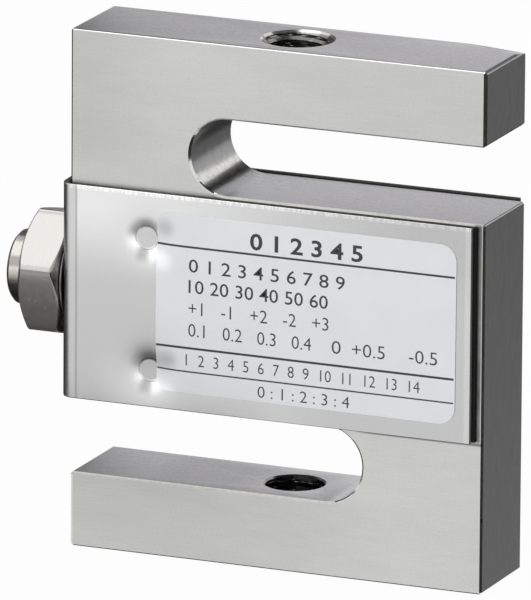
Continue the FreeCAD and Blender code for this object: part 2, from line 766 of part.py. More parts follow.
def build_gland_body(document, size):
    """Hexagon with chamfered corners, threaded spigot behind it, stepped bore through both."""
    body = new_body(document, "gland_body")
    hexagon = new_sketch(body, "hexagon", "XY_Plane", (0, 0, size.hex_low))
    corner_radius = size.gland_flats / 2 / cosine(30)
    corners = []
    for index in range(HEX_CORNERS):
        angle = size.gland_turn + index * FULL_TURN / HEX_CORNERS
        corners.append((corner_radius * cosine(angle), corner_radius * sine(angle)))
    draw_outline(hexagon, "hexagon", corners)
    pad(body, hexagon, "hexagon_pad", size.gland_hex_height)

    rim = size.gland_flats / 2 - size.gland_chamfer_rim
    outside = corner_radius + size.gland_chamfer_rim
    drop = (outside - rim) * tangent(size.gland_hex_chamfer)
    for name, face, towards in (("outer", size.hex_high, -1), ("inner", size.hex_low, 1)):
        sketch = new_sketch(body, name + "_corner_profile", "XZ_Plane")
        draw_outline(sketch, name, [(rim, face), (outside, face), (outside, face + drop * towards)])
        turn(body, sketch, name + "_corners", kind="Groove")

    spigot = new_sketch(body, "spigot_profile", "XZ_Plane")
    tip = -size.gland_spigot
    draw_outline(spigot, "spigot", [
        (0, tip), (size.spigot_radius - size.gland_spigot_chamfer, tip),
        (size.spigot_radius, tip + size.gland_spigot_chamfer),
        (size.spigot_radius, size.hex_low), (0, size.hex_low)])
    turn(body, spigot, "spigot")

    bore = new_sketch(body, "bore_profile", "XZ_Plane")
    draw_outline(bore, "bore", [
        (0, tip), (size.gland_bore, tip), (size.gland_bore, size.chamber_floor),
        (size.gland_chamber, size.chamber_floor), (size.gland_chamber, size.hex_high),
        (0, size.hex_high)])
    turn(body, bore, "stepped_bore", kind="Groove")
    seat_on_left_side(body, size)
    return body


def build_gland_pieces(document, size):
    """The washer, seal ring, seal bush, thrust ring and nipple that sit on the gland body."""
    hole = size.spigot_radius + size.washer_play
    washer = turned_piece(document, size, "gland_washer", [
        (hole, size.web_face), (size.washer_radius, size.web_face),
        (size.washer_radius, size.hex_low), (hole, size.hex_low)])

    ring = turned_piece(document, size, "gland_seal_ring", [
        (size.ring_inside, -size.ring_seat), (size.ring_outside, -size.ring_seat),
        (size.ring_outside, size.sealant_gap), (size.ring_inside, size.sealant_gap)])

    outside = size.gland_chamber - size.bush_play
    bush = turned_piece(document, size, "gland_seal_bush", [
        (size.bush_bore, size.chamber_floor), (outside, size.chamber_floor),
        (outside, size.bush_top - size.bush_taper), (outside - size.bush_taper, size.bush_top),
        (size.bush_bore, size.bush_top)])
    thrust = turned_piece(document, size, "gland_thrust_ring", [
        (size.nipple_bore, size.bush_top), (outside, size.bush_top),
        (outside, size.thrust_top), (size.nipple_bore, size.thrust_top)])

    shank = size.gland_chamber - size.thread_clearance
    collar_low = size.hex_high + size.nipple_undercut
    collar_high = collar_low + size.nipple_collar
    groove_high = collar_high + size.nipple_groove
    groove_radius = size.nipple_radius - size.nipple_groove
    edge = size.nipple_chamfer
    nipple = turned_piece(document, size, "gland_nipple", [
        (size.nipple_bore, size.thrust_top), (shank, size.thrust_top), (shank, collar_low),
        (size.nipple_radius, collar_low), (size.nipple_radius, collar_high),
        (groove_radius, collar_high), (groove_radius, groove_high),
        (size.nipple_radius, groove_high), (size.nipple_radius, size.nose_end - edge),
        (size.nipple_radius - edge, size.nose_end), (size.nipple_bore + edge, size.nose_end),
        (size.nipple_bore, size.nose_end - edge)])
    return [washer, ring, bush, thrust, nipple]


# --- checks and files --------------------------------------------------------------------------

REMOVING = ("PartDesign::Pocket", "PartDesign::Groove", "PartDesign::Hole", "PartDesign::Chamfer")


def check_document(document, pieces):
    """Stop on a failed object, on a cut that removed nothing, and on an empty or invalid shape."""
    for thing in document.Objects:
        if "Invalid" in thing.State or "Error" in thing.State:
            raise RuntimeError("%s is %s" % (thing.Name, thing.State))
        if thing.TypeId in REMOVING:
            before = thing.BaseFeature.Shape.Volume
            if not thing.Shape.Volume < before - 1e-6:
                raise RuntimeError("%s removes nothing" % thing.Name)
    for piece in pieces:
        shape = piece.Shape
        if shape.isNull() or not shape.isValid() or not shape.Solids:
            raise RuntimeError("%s has no valid solid" % piece.Label)


def main():
    document = FreeCAD.newDocument("s_type_load_cell")
    size = Sizes(document)
    block = build_block(document, size)
    cover = build_cover(document, size)
    sealant = build_sealant(document, size)
    label = build_label(document, size)

    inside = []
    for side_name, side in (("left", -1), ("right", 1)):
        for level_name, level in (("upper", 1), ("lower", -1)):
            name = "gauge_%s_%s" % (level_name, side_name)
            inside.append(build_gauge(document, size, name, side, level))
    inside.append(build_board(document, size))
    inside.append(build_pads(document, size))
    inside.append(build_resistor(document, size, "balance_resistor", 1))
    inside.append(build_resistor(document, size, "span_resistor", -1))
    inside.append(build_leads(document, size))
    document.recompute()
    potting = build_potting(document, size, inside)

    gland = [build_gland_body(document, size)] + build_gland_pieces(document, size)
    document.recompute()

    pieces = [block, cover, sealant, label] + inside + [potting] + gland
    check_document(document, pieces)
    os.makedirs("parts", exist_ok=True)
    for piece in pieces:
        piece.Shape.exportStep("parts/%s.step" % piece.Label)
        print("%-20s solids %d  volume %.2f mm3" % (
            piece.Label, len(piece.Shape.Solids), piece.Shape.Volume))


main()
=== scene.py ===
"""Dressing of an s type load cell: the slotted block with its threads, the folded cover with its film
label, the cable gland, and the finishes of what the block holds inside.

Every class below holds its lengths in millimetres. The meshes are metres, in the frame of the solids:
+Z is the load axis, +X points away from the gland, -Y is the labelled front.
"""

import json
import logging
from dataclasses import dataclass
from enum import Enum
from typing import Any, Sequence

import bmesh
import bpy
import numpy as np
from mathutils import Matrix, Vector

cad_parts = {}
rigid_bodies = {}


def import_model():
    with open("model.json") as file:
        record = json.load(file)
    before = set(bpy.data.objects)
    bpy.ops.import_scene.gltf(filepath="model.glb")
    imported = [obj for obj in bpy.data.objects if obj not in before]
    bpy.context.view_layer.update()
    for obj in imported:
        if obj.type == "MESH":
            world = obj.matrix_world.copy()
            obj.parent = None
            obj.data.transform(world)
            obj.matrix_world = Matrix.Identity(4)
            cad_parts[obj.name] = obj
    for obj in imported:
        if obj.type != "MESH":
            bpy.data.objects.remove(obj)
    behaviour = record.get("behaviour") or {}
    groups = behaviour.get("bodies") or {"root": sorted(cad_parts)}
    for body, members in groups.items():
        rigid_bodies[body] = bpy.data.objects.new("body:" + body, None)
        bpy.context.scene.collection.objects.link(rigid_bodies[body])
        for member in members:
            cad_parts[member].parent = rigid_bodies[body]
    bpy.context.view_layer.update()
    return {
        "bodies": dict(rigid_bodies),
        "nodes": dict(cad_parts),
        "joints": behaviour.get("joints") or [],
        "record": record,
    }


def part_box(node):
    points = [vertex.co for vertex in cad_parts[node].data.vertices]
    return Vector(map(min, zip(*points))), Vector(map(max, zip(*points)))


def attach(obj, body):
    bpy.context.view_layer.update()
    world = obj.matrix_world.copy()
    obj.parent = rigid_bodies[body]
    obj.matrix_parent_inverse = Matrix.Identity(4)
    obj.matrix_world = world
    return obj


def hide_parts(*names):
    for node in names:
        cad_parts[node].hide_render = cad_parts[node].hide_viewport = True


LOG = logging.getLogger("load_cell")
MM = 0.001
BODY = "root"

Array = np.ndarray
Colour = tuple[float, float, float]
Place = tuple[float, float, float]
Spot = tuple[float, float]


# --- shader maths ------------------------------------------------------------------------------


class Signal:
    """An output socket that does arithmetic: every operator adds one Math node to its tree."""

    def __init__(self, nodes: "Nodes", output: bpy.types.NodeSocket) -> None:
        """Keeps the tree and the socket."""
        self.nodes = nodes
        self.output = output

    def __add__(self, other: "Operand") -> "Signal":
        """self + other."""
        return self.nodes.math("ADD", self, other)

    def __radd__(self, other: float) -> "Signal":
        """other + self."""
        return self.nodes.math("ADD", other, self)

    def __sub__(self, other: "Operand") -> "Signal":
        """self - other."""
        return self.nodes.math("SUBTRACT", self, other)

    def __rsub__(self, other: float) -> "Signal":
        """other - self."""
        return self.nodes.math("SUBTRACT", other, self)

    def __mul__(self, other: "Operand") -> "Signal":
        """self * other."""
        return self.nodes.math("MULTIPLY", self, other)

    def __rmul__(self, other: float) -> "Signal":
        """other * self."""
        return self.nodes.math("MULTIPLY", other, self)

    def __truediv__(self, other: "Operand") -> "Signal":
        """self / other."""
        return self.nodes.math("DIVIDE", self, other)

    def __abs__(self) -> "Signal":
        """The size of self, without its sign."""
        return self.nodes.math("ABSOLUTE", self)

    def largest(self, other: "Operand") -> "Signal":
        """The larger of self and other."""
        return self.nodes.math("MAXIMUM", self, other)

    def ramp(self, start: float, end: float) -> "Signal":
        """A smooth step: 0 where self is at start, 1 where it is at end."""
        return self.nodes.signal("MapRange", "Result", {"interpolation_type": "SMOOTHSTEP"},
                                 {"Value": self, "From Min": start, "From Max": end})

    def fall(self, start: float, end: float) -> "Signal":
        """The smooth step turned over: 1 where self is at start, 0 where it is at end."""
        return 1.0 - self.ramp(start, end)

    def near(self, middle: float, inner: float, outer: float) -> "Signal":
        """1 where self is within inner of the middle, 0 from outer on."""
        return abs(self - middle).fall(inner, outer)

    def dimmed(self, mask: "Signal", share: "Operand") -> "Signal":
        """self, less this share of itself where the mask is 1."""
        return self * (1.0 - mask * share)


Operand = Signal | float


class Nodes:
    """The node tree of one material or world, and the few ways that nodes are added to it."""

    def __init__(self, tree: bpy.types.NodeTree) -> None:
        """Takes over a tree and empties it.

        Args:
            tree: the node tree of a material or a world.
        """
        self.tree = tree
        tree.nodes.clear()

    def add(self, kind: str, settings: dict[str, Any] | None = None,
            inputs: dict[str | int, Any] | None = None) -> bpy.types.Node:
        """Adds one node.

        Args:
            kind: the node's type, without its ShaderNode prefix.
            settings: the node's own settings, set before anything is linked.
            inputs: values or signals, by socket name or number.

        Returns:
            The node.
        """
        node = self.tree.nodes.new("ShaderNode" + kind)
        for key, value in (settings or {}).items():
            setattr(node, key, value)
        for key, value in (inputs or {}).items():
            if isinstance(value, Signal):
                self.tree.links.new(value.output, node.inputs[key])
            else:
                node.inputs[key].default_value = value
        return node

    def signal(self, kind: str, output: str | int, settings: dict[str, Any] | None = None,
               inputs: dict[str | int, Any] | None = None) -> Signal:
        """Adds a node and gives one of its outputs.

        Args:
            kind: the node's type, without its ShaderNode prefix.
            output: the output's name or number.
            settings: the node's own settings.
            inputs: values or signals, by socket name or number.

        Returns:
            The output as a signal.
        """
        return Signal(self, self.add(kind, settings, inputs).outputs[output])

    def math(self, operation: str, *operands: Operand) -> Signal:
        """One Math node on one or two operands."""
        return self.signal("Math", 0, {"operation": operation}, dict(enumerate(operands)))

    def vector(self, operation: str, *operands: Any, output: str = "Vector") -> Signal:
        """One Vector Math node on one or two operands."""
        return self.signal("VectorMath", output, {"operation": operation}, dict(enumerate(operands)))

    def blend(self, factor: Operand, first: Any, second: Any) -> Signal:
        """Mixes two colours.

        Args:
            factor: 0 for the first colour, 1 for the second.
            first: a colour, or a signal that carries one.
            second: a colour, or a signal that carries one.

        Returns:
            The mixed colour.
        """
        ends = [end if isinstance(end, Signal) else (*end, 1.0) for end in (first, second)]
        return self.signal("Mix", 2, {"data_type": "RGBA"}, {0: factor, 6: ends[0], 7: ends[1]})

    def shade(self, colour: Any, level: Operand) -> Signal:
        """Multiplies a colour by a grey level.

        Args:
            colour: a colour, or a signal that carries one.
            level: the level, where 1 leaves the colour as it is.

        Returns:
            The shaded colour.
        """
        start = colour if isinstance(colour, Signal) else (*colour, 1.0)
        grey = self.signal("CombineColor", 0, {}, {0: level, 1: level, 2: level})
        return self.signal("Mix", 2, {"data_type": "RGBA", "blend_type": "MULTIPLY"},
                           {0: 1.0, 6: start, 7: grey})

    def place(self) -> Signal:
        """Where the shaded point is, in millimetres, in the frame of the solids."""
        here = self.signal("TexCoord", "Object")
        return self.signal("VectorMath", "Vector", {"operation": "SCALE"}, {0: here, "Scale": 1000.0})

    def facing(self) -> tuple[Signal, Signal, Signal]:
        """The three parts of the surface's normal, each as a size from 0 to 1."""
        normal = self.signal("TexCoord", "Normal")
        return tuple(abs(part) for part in self.parts(normal))

    def parts(self, vector: Signal) -> tuple[Signal, Signal, Signal]:
        """The three parts of a vector."""
        node = self.add("SeparateXYZ", None, {0: vector})
        return tuple(Signal(self, output) for output in node.outputs)

    def noise(self, place: Signal, stretch: Sequence[float], detail: float = 3.0,
              offset: Sequence[float] = (0.0, 0.0, 0.0)) -> Signal:
        """Smooth noise round 0.5.

        Args:
            place: the point, in millimetres.
            stretch: cells per millimetre along each axis, so small numbers draw long streaks.
            detail: how many finer layers are added.
            offset: moves the pattern, so that two layers differ.

        Returns:
            The noise value.
        """
        there = self.signal("Mapping", 0, {"vector_type": "POINT"},
                            {"Vector": place, "Location": offset, "Scale": stretch})
        return self.signal("TexNoise", 0, {"noise_dimensions": "3D"},
                           {"Vector": there, "Scale": 1.0, "Detail": detail})

    def bump(self, height: Signal, depth: float) -> Signal:
        """A normal from a height.

        Args:
            height: the height, from 0 to 1.
            depth: how far 1 stands out, in millimetres.

        Returns:
            The normal.
        """
        return self.signal("Bump", 0, {}, {"Height": height, "Strength": 1.0, "Distance": depth * MM})

    def glow(self, kind: str, strength: float) -> Signal:
        """A white Emission or Background shader."""
        return self.signal(kind, 0, {}, {"Color": (1.0, 1.0, 1.0, 1.0), "Strength": strength})


# --- finishes ----------------------------------------------------------------------------------


def empty_material(name: str) -> tuple[bpy.types.Material, Nodes]:
    """A new material and its empty tree.

    Args:
        name: the material's name.

    Returns:
        The material and its tree.
    """
    material = bpy.data.materials.new(name)
    material.use_nodes = True
    return material, Nodes(material.node_tree)


@dataclass(frozen=True)
class Finish:
    """A surface finish: a name, a base colour and a roughness."""

    name: str
    colour: Colour
    roughness: float

    def sockets(self, nodes: Nodes) -> dict[str, Any]:
        """The inputs of the surface shader. Each finish gives its own."""
        raise NotImplementedError

    def material(self) -> bpy.types.Material:
        """Builds the material.

        Returns:
            A material whose one surface shader has this finish's inputs.
        """
        material, nodes = empty_material(self.name)
        surface = nodes.signal("BsdfPrincipled", 0, {}, self.sockets(nodes))
        nodes.add("OutputMaterial", None, {"Surface": surface})
        material.diffuse_color = (*self.colour, 1.0)
        return material


@dataclass(frozen=True)
class BlockForm:
    """The block's driving sizes, and the levels that follow from them."""

    end: float
    front: float
    top: float
    beam_height: float = 8.8
    slot_gap: float = 8.9
    thread_root: float = 4.0
    flange_end: float = 24.2

    @property
    def section(self) -> tuple[float, float]:
        """The bottom and the top face of the middle section."""
        return self.beam_height + self.slot_gap, self.top - self.beam_height - self.slot_gap


@dataclass(frozen=True)
class Point:
    """A shaded point: its place in millimetres and the size of each part of its normal."""

    x: Signal
    y: Signal
    z: Signal
    x_face: Signal
    y_face: Signal
    z_face: Signal


@dataclass(frozen=True)
class Marks:
    """The noises that machining leaves on the block, each round 0.5: streaks of the brush, broad
    patches, a fine grain and the cutter's arcs."""

    streak: Signal
    patch: Signal
    grain: Signal
    arc: Signal


@dataclass(frozen=True)
class MachinedSteel(Finish):
    """Nickel plated block: front and back brushed along X, level faces milled in arcs, end faces
    ground dark, chamfers left bright, with painted light and painted shade laid over them in places."""

    form: BlockForm
    milled: Colour = (0.52, 0.505, 0.53)
    ground: Colour = (0.46, 0.46, 0.465)
    edge: Colour = (0.70, 0.69, 0.66)
    cutter: Place = (-2.0, -34.0, 0.0)

    def machining(self, nodes: Nodes, place: Signal, at: Point) -> Marks:
        """Streaks are noise stretched along X; arcs are noise on the distance from the cutter's centre.

        Args:
            nodes: the tree.
            place: the shaded point, in millimetres.
            at: the same point in parts.

        Returns:
            The four noises.
        """
        reach = nodes.vector("DISTANCE", place, self.cutter, output="Value")
        sweep = nodes.signal("CombineXYZ", 0, {}, {0: reach, 1: at.x * 0.12, 2: at.y * 0.05})
        return Marks(streak=nodes.noise(place, (0.22, 1.0, 5.5), 4.0),
                     patch=nodes.noise(place, (0.10, 0.3, 0.35), 2.0, (7.0, 3.0, 1.0)),
                     grain=nodes.noise(place, (3.0, 3.0, 7.0), 2.0, (1.0, 8.0, 4.0)),
                     arc=nodes.noise(sweep, (3.2, 1.0, 1.0), 3.0))

    def brushed_level(self, at: Point, marks: Marks) -> Signal:
        """How light the brushed faces are, with painted shade: a little darker on the upper left arm, up
        the section towards the right, and on the lower beam's free end.

        Args:
            at: the shaded point.
            marks: the noises of machining.

        Returns:
            The level.
        """
        # painted shade: darker on the upper left arm, up the section to the right, and on the lower beam's
        # free end
        left_arm = at.x.fall(-24.0, -12.0) * at.z.ramp(44.0, 48.0)
        up_the_section, to_the_right = at.z.ramp(15.0, 46.0), at.x.ramp(-10.0, 16.0)
        free_end = at.x.fall(0.0, 16.0) * at.z.fall(8.0, 10.0)
        level = 0.76 + marks.streak * 0.16 + marks.patch * 0.12 + marks.grain * 0.20
        return (level.dimmed(left_arm, 0.11).dimmed(up_the_section, 0.075 + to_the_right * 0.045)
                .dimmed(free_end, 0.08))

    def milled_level(self, at: Point, marks: Marks) -> Signal:
        """How light the level faces are, with painted light and shade: lighter to the right, a little
        darker on the left of the block's top and in the middle of the lower beam's.

        Args:
            at: the shaded point.
            marks: the noises of machining.

        Returns:
            The level.
        """
        # painted light and shade: lighter to the right, darker on the left of the top and in the lower
        # beam's middle
        left_of_top = at.z.ramp(50.0, 58.0) * at.x.fall(8.0, 20.0)
        lower_middle = at.z.fall(9.0, 12.0) * at.x.near(-10.0, 3.0, 8.0)
        level = (0.375 + marks.arc * 0.20 + marks.grain * 0.45 + marks.patch * 0.16
                 + at.x.ramp(-24.0, 18.0) * 0.17)
        return level.dimmed(left_of_top, 0.06).dimmed(lower_middle, 0.15)

    def sealant_and_painted_shade(self, nodes: Nodes, at: Point, patch: Signal) -> Signal:
        """What darkens the steel in places: sealant and painted shade.

        Beside the front flange's end the steel is darkened by smeared sealant and by the flange's
        painted shadow, and a painted shade lies under the cover's lower edge. The threads carry painted
        shade down to their root. The slots' front lips carry painted shade, and so does the chamfer at the
        right end of the top, but for a thin line along its lower edge.

        Args:
            nodes: the tree.
            at: the shaded point.
            patch: the noise of broad patches.

        Returns:
            The level to multiply by, 1 where there is neither sealant nor painted shade.
        """
        form, (low, high) = self.form, self.form.section
        on_front = at.y.fall(form.front + 0.1, form.front + 0.3)
        past_flange = at.x.ramp(form.flange_end - 0.2, form.flange_end + 0.1)
        # sealant smeared beside the front flange's end, with the flange's painted shadow on the strip
        # beside it
        beside = past_flange * at.x.fall(form.end - 0.45, form.end - 0.25) * on_front
        sealant_and_painted_shadow = beside * at.z.ramp(low - 0.1, low + 0.3) * at.z.fall(high - 0.3, high + 0.1)
        # painted shade under the cover's lower edge
        under = at.z.near(low - 0.15, 0.1, 0.24) * at.x.ramp(9.0, 12.0) * on_front
        # painted shade in the tapped holes, down to the thread's root
        off_axis = nodes.math("SQRT", at.x * at.x + at.y * at.y)
        painted_hole_shade = off_axis.fall(form.thread_root, form.thread_root + 0.14) * at.z_face.fall(0.86, 0.97)
        # painted shade dimming the highlights on the slots' front lips
        lip = at.z.near(high - 0.1, 0.2, 0.3).largest(at.z.near(form.beam_height - 0.1, 0.2, 0.3))
        lip = lip * at.y.fall(form.front + 0.25, form.front + 0.4) * self.is_edge(at)
        # painted shade on the free end's top chamfer, but for a thin line along its lower edge
        near_corner = at.z.ramp(form.top - 2.9, form.top - 1.9) * at.x.ramp(form.end - 1.4, form.end - 1.0)
        corner = at.x_face.ramp(0.5, 0.6) * at.z_face.ramp(0.5, 0.6) * near_corner
        above_line = at.z.ramp(form.top - 0.28, form.top - 0.20)
        level = 1.0 - sealant_and_painted_shadow * (0.45 + patch * 0.4)
        return (level.dimmed(under, 0.6).dimmed(painted_hole_shade, 0.62).dimmed(lip, 0.60)
                .dimmed(corner, 0.48 + above_line * 0.42))

    def is_edge(self, at: Point) -> Signal:
        """1 on chamfers, whose normal lies along no axis."""
        return at.x_face.largest(at.y_face).largest(at.z_face).fall(0.80, 0.93)

    def sockets(self, nodes: Nodes) -> dict[str, Any]:
        """Each kind of face has its own colour and level, chosen by where its normal points.

        Args:
            nodes: the tree.

        Returns:
            The surface shader's inputs, by socket name.
        """
        place = nodes.place()
        at = Point(*nodes.parts(place), *nodes.facing())
        marks = self.machining(nodes, place, at)
        is_end, is_front, is_level = (face.ramp(0.86, 0.97) for face in (at.x_face, at.y_face, at.z_face))
        front = nodes.shade(self.colour, self.brushed_level(at, marks))
        level = nodes.shade(self.milled, self.milled_level(at, marks))
        rubbed = nodes.noise(place, (1.0, 2.5, 0.6), 3.0)
        # painted shade: the end faces darken towards the top
        end = nodes.shade(self.ground, 1.16 + rubbed * 0.32 - at.z.ramp(-10.0, 50.0) * 0.30)
        colour = nodes.blend(is_end, nodes.blend(is_level, front, level), end)
        nick = nodes.noise(place, (1.6, 1.6, 1.6), 2.0, (2.0, 5.0, 9.0)).ramp(0.35, 0.6)
        colour = nodes.blend(self.is_edge(at) * (0.5 + nick * 0.5), colour, self.edge)
        roughness = self.roughness + (marks.patch - 0.5) * 0.08
        roughness = roughness + is_front * 0.19 + is_level * 0.11 + is_end * 0.08
        height = marks.streak * at.y_face + marks.arc * at.z_face
        return {"Base Color": nodes.shade(colour, self.sealant_and_painted_shade(nodes, at, marks.patch)), "Metallic": 1.0,
                "Roughness": roughness, "Normal": nodes.bump(height, 0.006)}


@dataclass(frozen=True)
class SatinSheet(Finish):
    """Rolled sheet: smooth and satin, with faint clouds and slow waves left by the folding, and dark
    sheared edges; painted sheen, painted glints and painted shade lie over it, round the dimples too."""

    left: float
    end: float
    top: float
    spots: tuple[Spot, ...]
    # dark of the sheared edges, also laid on the lower and rear bevels as painted shade
    sheared: Colour = (0.040, 0.040, 0.038)
    rim: float = 1.37

    def painted_dimple_shade(self, nodes: Nodes, x: Signal, z: Signal) -> Signal:
        """Painted shade round each dimple, as a level to multiply by.

        The floor is painted darker, more at its top, its rim is a painted thin dark line, a painted shade
        hangs above the rim and a narrow one below it.

        Args:
            nodes: the tree.
            x: the place across the sheet.
            z: the place up the sheet.

        Returns:
            The level, 1 away from the dimples.
        """
        total = 1.0
        for across, up in self.spots:
            right, above = x - across, z - up
            r = nodes.math("SQRT", right * right + above * above)
            # painted shade on the floor, more at its top
            floor = r.fall(self.rim - 0.11, self.rim + 0.01) * (0.13 + above.ramp(-1.0, 1.2) * 0.08)
            upwards = (above * 0.97 - right * 0.25) / r.largest(0.1)
            # painted crown of shade above the rim, stronger higher up the sheet
            crown = r.ramp(self.rim - 0.07, self.rim + 0.05) * r.fall(1.4, 2.9) * upwards.ramp(0.1, 0.7)
            beside, down = abs(right * 0.975 - above * 0.22), right * -0.22 - above * 0.975
            # painted tail of shade below the dimple
            tail = down.ramp(1.3, 1.5) * down.fall(2.1, 3.4) * beside.fall(0.25, 1.15)
            # painted thin dark line on the rim
            level = (1.0 - floor).dimmed(r.near(self.rim, 0.02, 0.13), 0.28)
            total = level.dimmed(crown, 0.40 + z.ramp(20.0, 35.0) * 0.18).dimmed(tail, 0.30) * total
        return total

    def rolled_and_painted_level(self, x: Signal, z: Signal, rolled: Signal) -> Signal:
        """How light the sheet's face is, with painted light and shade: a painted sheen at its upper
        left, painted shade at its upper right, painted light in its lower left corner, and painted shade
        over the web and round the fold, on which a thin painted dark crease lies.

        Args:
            x: the place across the sheet.
            z: the place up the sheet.
            rolled: the level that rolling left.

        Returns:
            The level.
        """
        upper, fold = z.ramp(31.0, 41.0), self.left + 2.1
        # painted sheen at the upper left, painted shade at the upper right
        sheen = upper * x.fall(-20.0, 12.0) * 0.34 - upper * x.ramp(5.0, 20.0) * 0.11
        # painted light in the lower left corner
        lower = z.fall(20.0, 28.0) * x.fall(-6.0, 8.0) * (0.05 + x.ramp(-23.0, -19.0) * 0.09)
        # painted shade over the web, and more round the fold
        web = 0.25 + x.ramp(self.left - 0.15, self.left + 1.35) * 0.75
        web = web.dimmed(x.fall(fold - 0.05, fold + 0.1) * upper, 0.22)
        level = (rolled + sheen + lower) * web
        # a thin painted dark crease along the fold
        return level.dimmed(x.near(fold, 0.05, 0.22), 0.27)

    def sockets(self, nodes: Nodes) -> dict[str, Any]:
        """Clouds tint the colour and roughness; a slow wave and a fine grain lift the surface. Faces
        that look along +X, up or down are the dark sheared edges; the lower bevel and the rear flange's
        upper bevel and inner face get the same dark as painted shade. Painted glints lie along the upper
        edge, and a painted lighter strip along the front flange's end.

        Args:
            nodes: the tree.

        Returns:
            The surface shader's inputs, by socket name.
        """
        place = nodes.place()
        x, y, z = nodes.parts(place)
        along, across, up = nodes.parts(nodes.signal("TexCoord", "Normal"))
        cloud = nodes.noise(place, (0.05, 0.2, 0.06), 2.0, (2.0, 0.0, 5.0))
        grain = nodes.noise(place, (2.2, 2.2, 2.2), 3.0)
        wave = nodes.noise(place, (0.10, 0.10, 0.10), 1.0, (3.0, 1.0, 4.0))
        is_end, is_rear = along.ramp(0.6, 0.85), y.ramp(5.2, 6.2)
        # dark sheared edges up and down; the down-facing bevel shares that dark as painted shade
        cut_and_painted_shade = up.ramp(0.80, 0.95).largest((0.0 - up).ramp(0.20, 0.50))
        # painted shade on the rear flange's upper bevel and inner face
        cut_and_painted_shade = cut_and_painted_shade.largest(is_rear * up.largest(0.0 - across).ramp(0.15, 0.45))

        # painted glints along the top edge, and a painted lighter strip along the front flange's end
        painted_specks = nodes.noise(place, (2.6, 1.0, 1.0), 2.0, (6.0, 2.0, 2.0)).ramp(0.42, 0.62)
        painted_glint = z.ramp(self.top - 0.6, self.top - 0.35) * z.fall(self.top - 0.1, self.top + 0.03)
        painted_glint = painted_glint * (0.25 + painted_specks * 0.75) * 0.28 + x.ramp(self.end - 0.95, self.end - 0.6) * 0.13
        level = self.rolled_and_painted_level(x, z, 0.77 + cloud * 0.10 + grain * 0.04) * (1.0 + painted_glint)
        # painted shade on the upward bevel, then the painted shade round the dimples
        level = level.dimmed(up.ramp(0.4, 0.6), 0.22) * self.painted_dimple_shade(nodes, x, z)
        colour = nodes.blend(is_end, nodes.shade(self.colour, level),
                             nodes.shade(self.colour, 0.2 + grain * 0.05))
        cut = nodes.shade(self.sheared, (0.7 + grain * 0.6) * (1.0 + is_rear * 1.2))
        roughness = self.roughness + (cloud - 0.5) * 0.06 + (grain - 0.5) * 0.05
        return {"Base Color": nodes.blend(cut_and_painted_shade, colour, cut), "Metallic": 1.0 - is_end * 0.7,
                "Roughness": roughness + cut_and_painted_shade.largest(is_end) * 0.25,
                "Normal": nodes.bump(wave + grain * 0.012, 0.10)}


@dataclass(frozen=True)
class PlatedFitting(Finish):
    """Nickel plated brass of the gland: drawn flats and turned rings."""

    def painted_light_level(self, z: Signal) -> Operand:
        """The painted light and shade at a height, as a level to multiply by; plain rings have none."""
        return 1.0

    def sockets(self, nodes: Nodes) -> dict[str, Any]:
        """Lines round the gland's axis come from noise that is high along X; specks from a finer one.

        Args:
            nodes: the tree.

        Returns:
            The surface shader's inputs, by socket name.
        """
        place = nodes.place()
        _, _, z = nodes.parts(place)
        line = nodes.noise(place, (5.0, 0.25, 0.25), 3.0)
        speck = nodes.noise(place, (1.4, 1.4, 1.4), 3.0, (4.0, 4.0, 0.0))
        # the fitting's own lines and specks, times its painted light and shade
        level = (0.90 + line * 0.08 + speck * 0.10) * self.painted_light_level(z)
        return {"Base Color": nodes.shade(self.colour, level), "Metallic": 1.0,
                "Roughness": self.roughness + (speck - 0.5) * 0.16,
                "Normal": nodes.bump(line + speck * 0.6, 0.006)}


@dataclass(frozen=True)
class DrawnFlats(PlatedFitting):
    """The gland's hexagon: its lower front flat carries a little painted shade along the corner above it.
    """

    corner: float = 0.0

    def painted_light_level(self, z: Signal) -> Operand:
        """The painted shade deepens up to the front corner and ends there."""
        above = z - self.corner
        # painted shade below the front corner
        return 1.0 - above.ramp(-4.5, -0.4) * above.fall(-0.2, 0.0) * 0.22


@dataclass(frozen=True)
class TurnedNose(PlatedFitting):
    """The gland's nose: a painted highlight on its upper front, painted shade nearly black below."""

    axis: float = 0.0

    def painted_light_level(self, z: Signal) -> Operand:
        """The colour is raised a little over the axis as a painted highlight and lowered under it as
        painted shade.

        Args:
            z: the place up.

        Returns:
            The level to multiply by.
        """
        above = z - self.axis
        # painted highlight a little over the axis
        bright = above.ramp(-0.2, 0.4) * above.fall(1.7, 2.6) * 0.08
        # painted shade, nearly black, under the axis
        return (1.0 + bright) * (0.30 + above.ramp(-0.75, 0.0) * 0.70)


@dataclass(frozen=True)
class Patch:
    """A patch of painted light on the film: painted shade where the change is below 0, a painted highlight
    where it is above. It holds how far it lies right of a dimple and above it, how far it reaches and
    by how much the level changes."""

    right: float
    above: float
    reach: float
    change: float


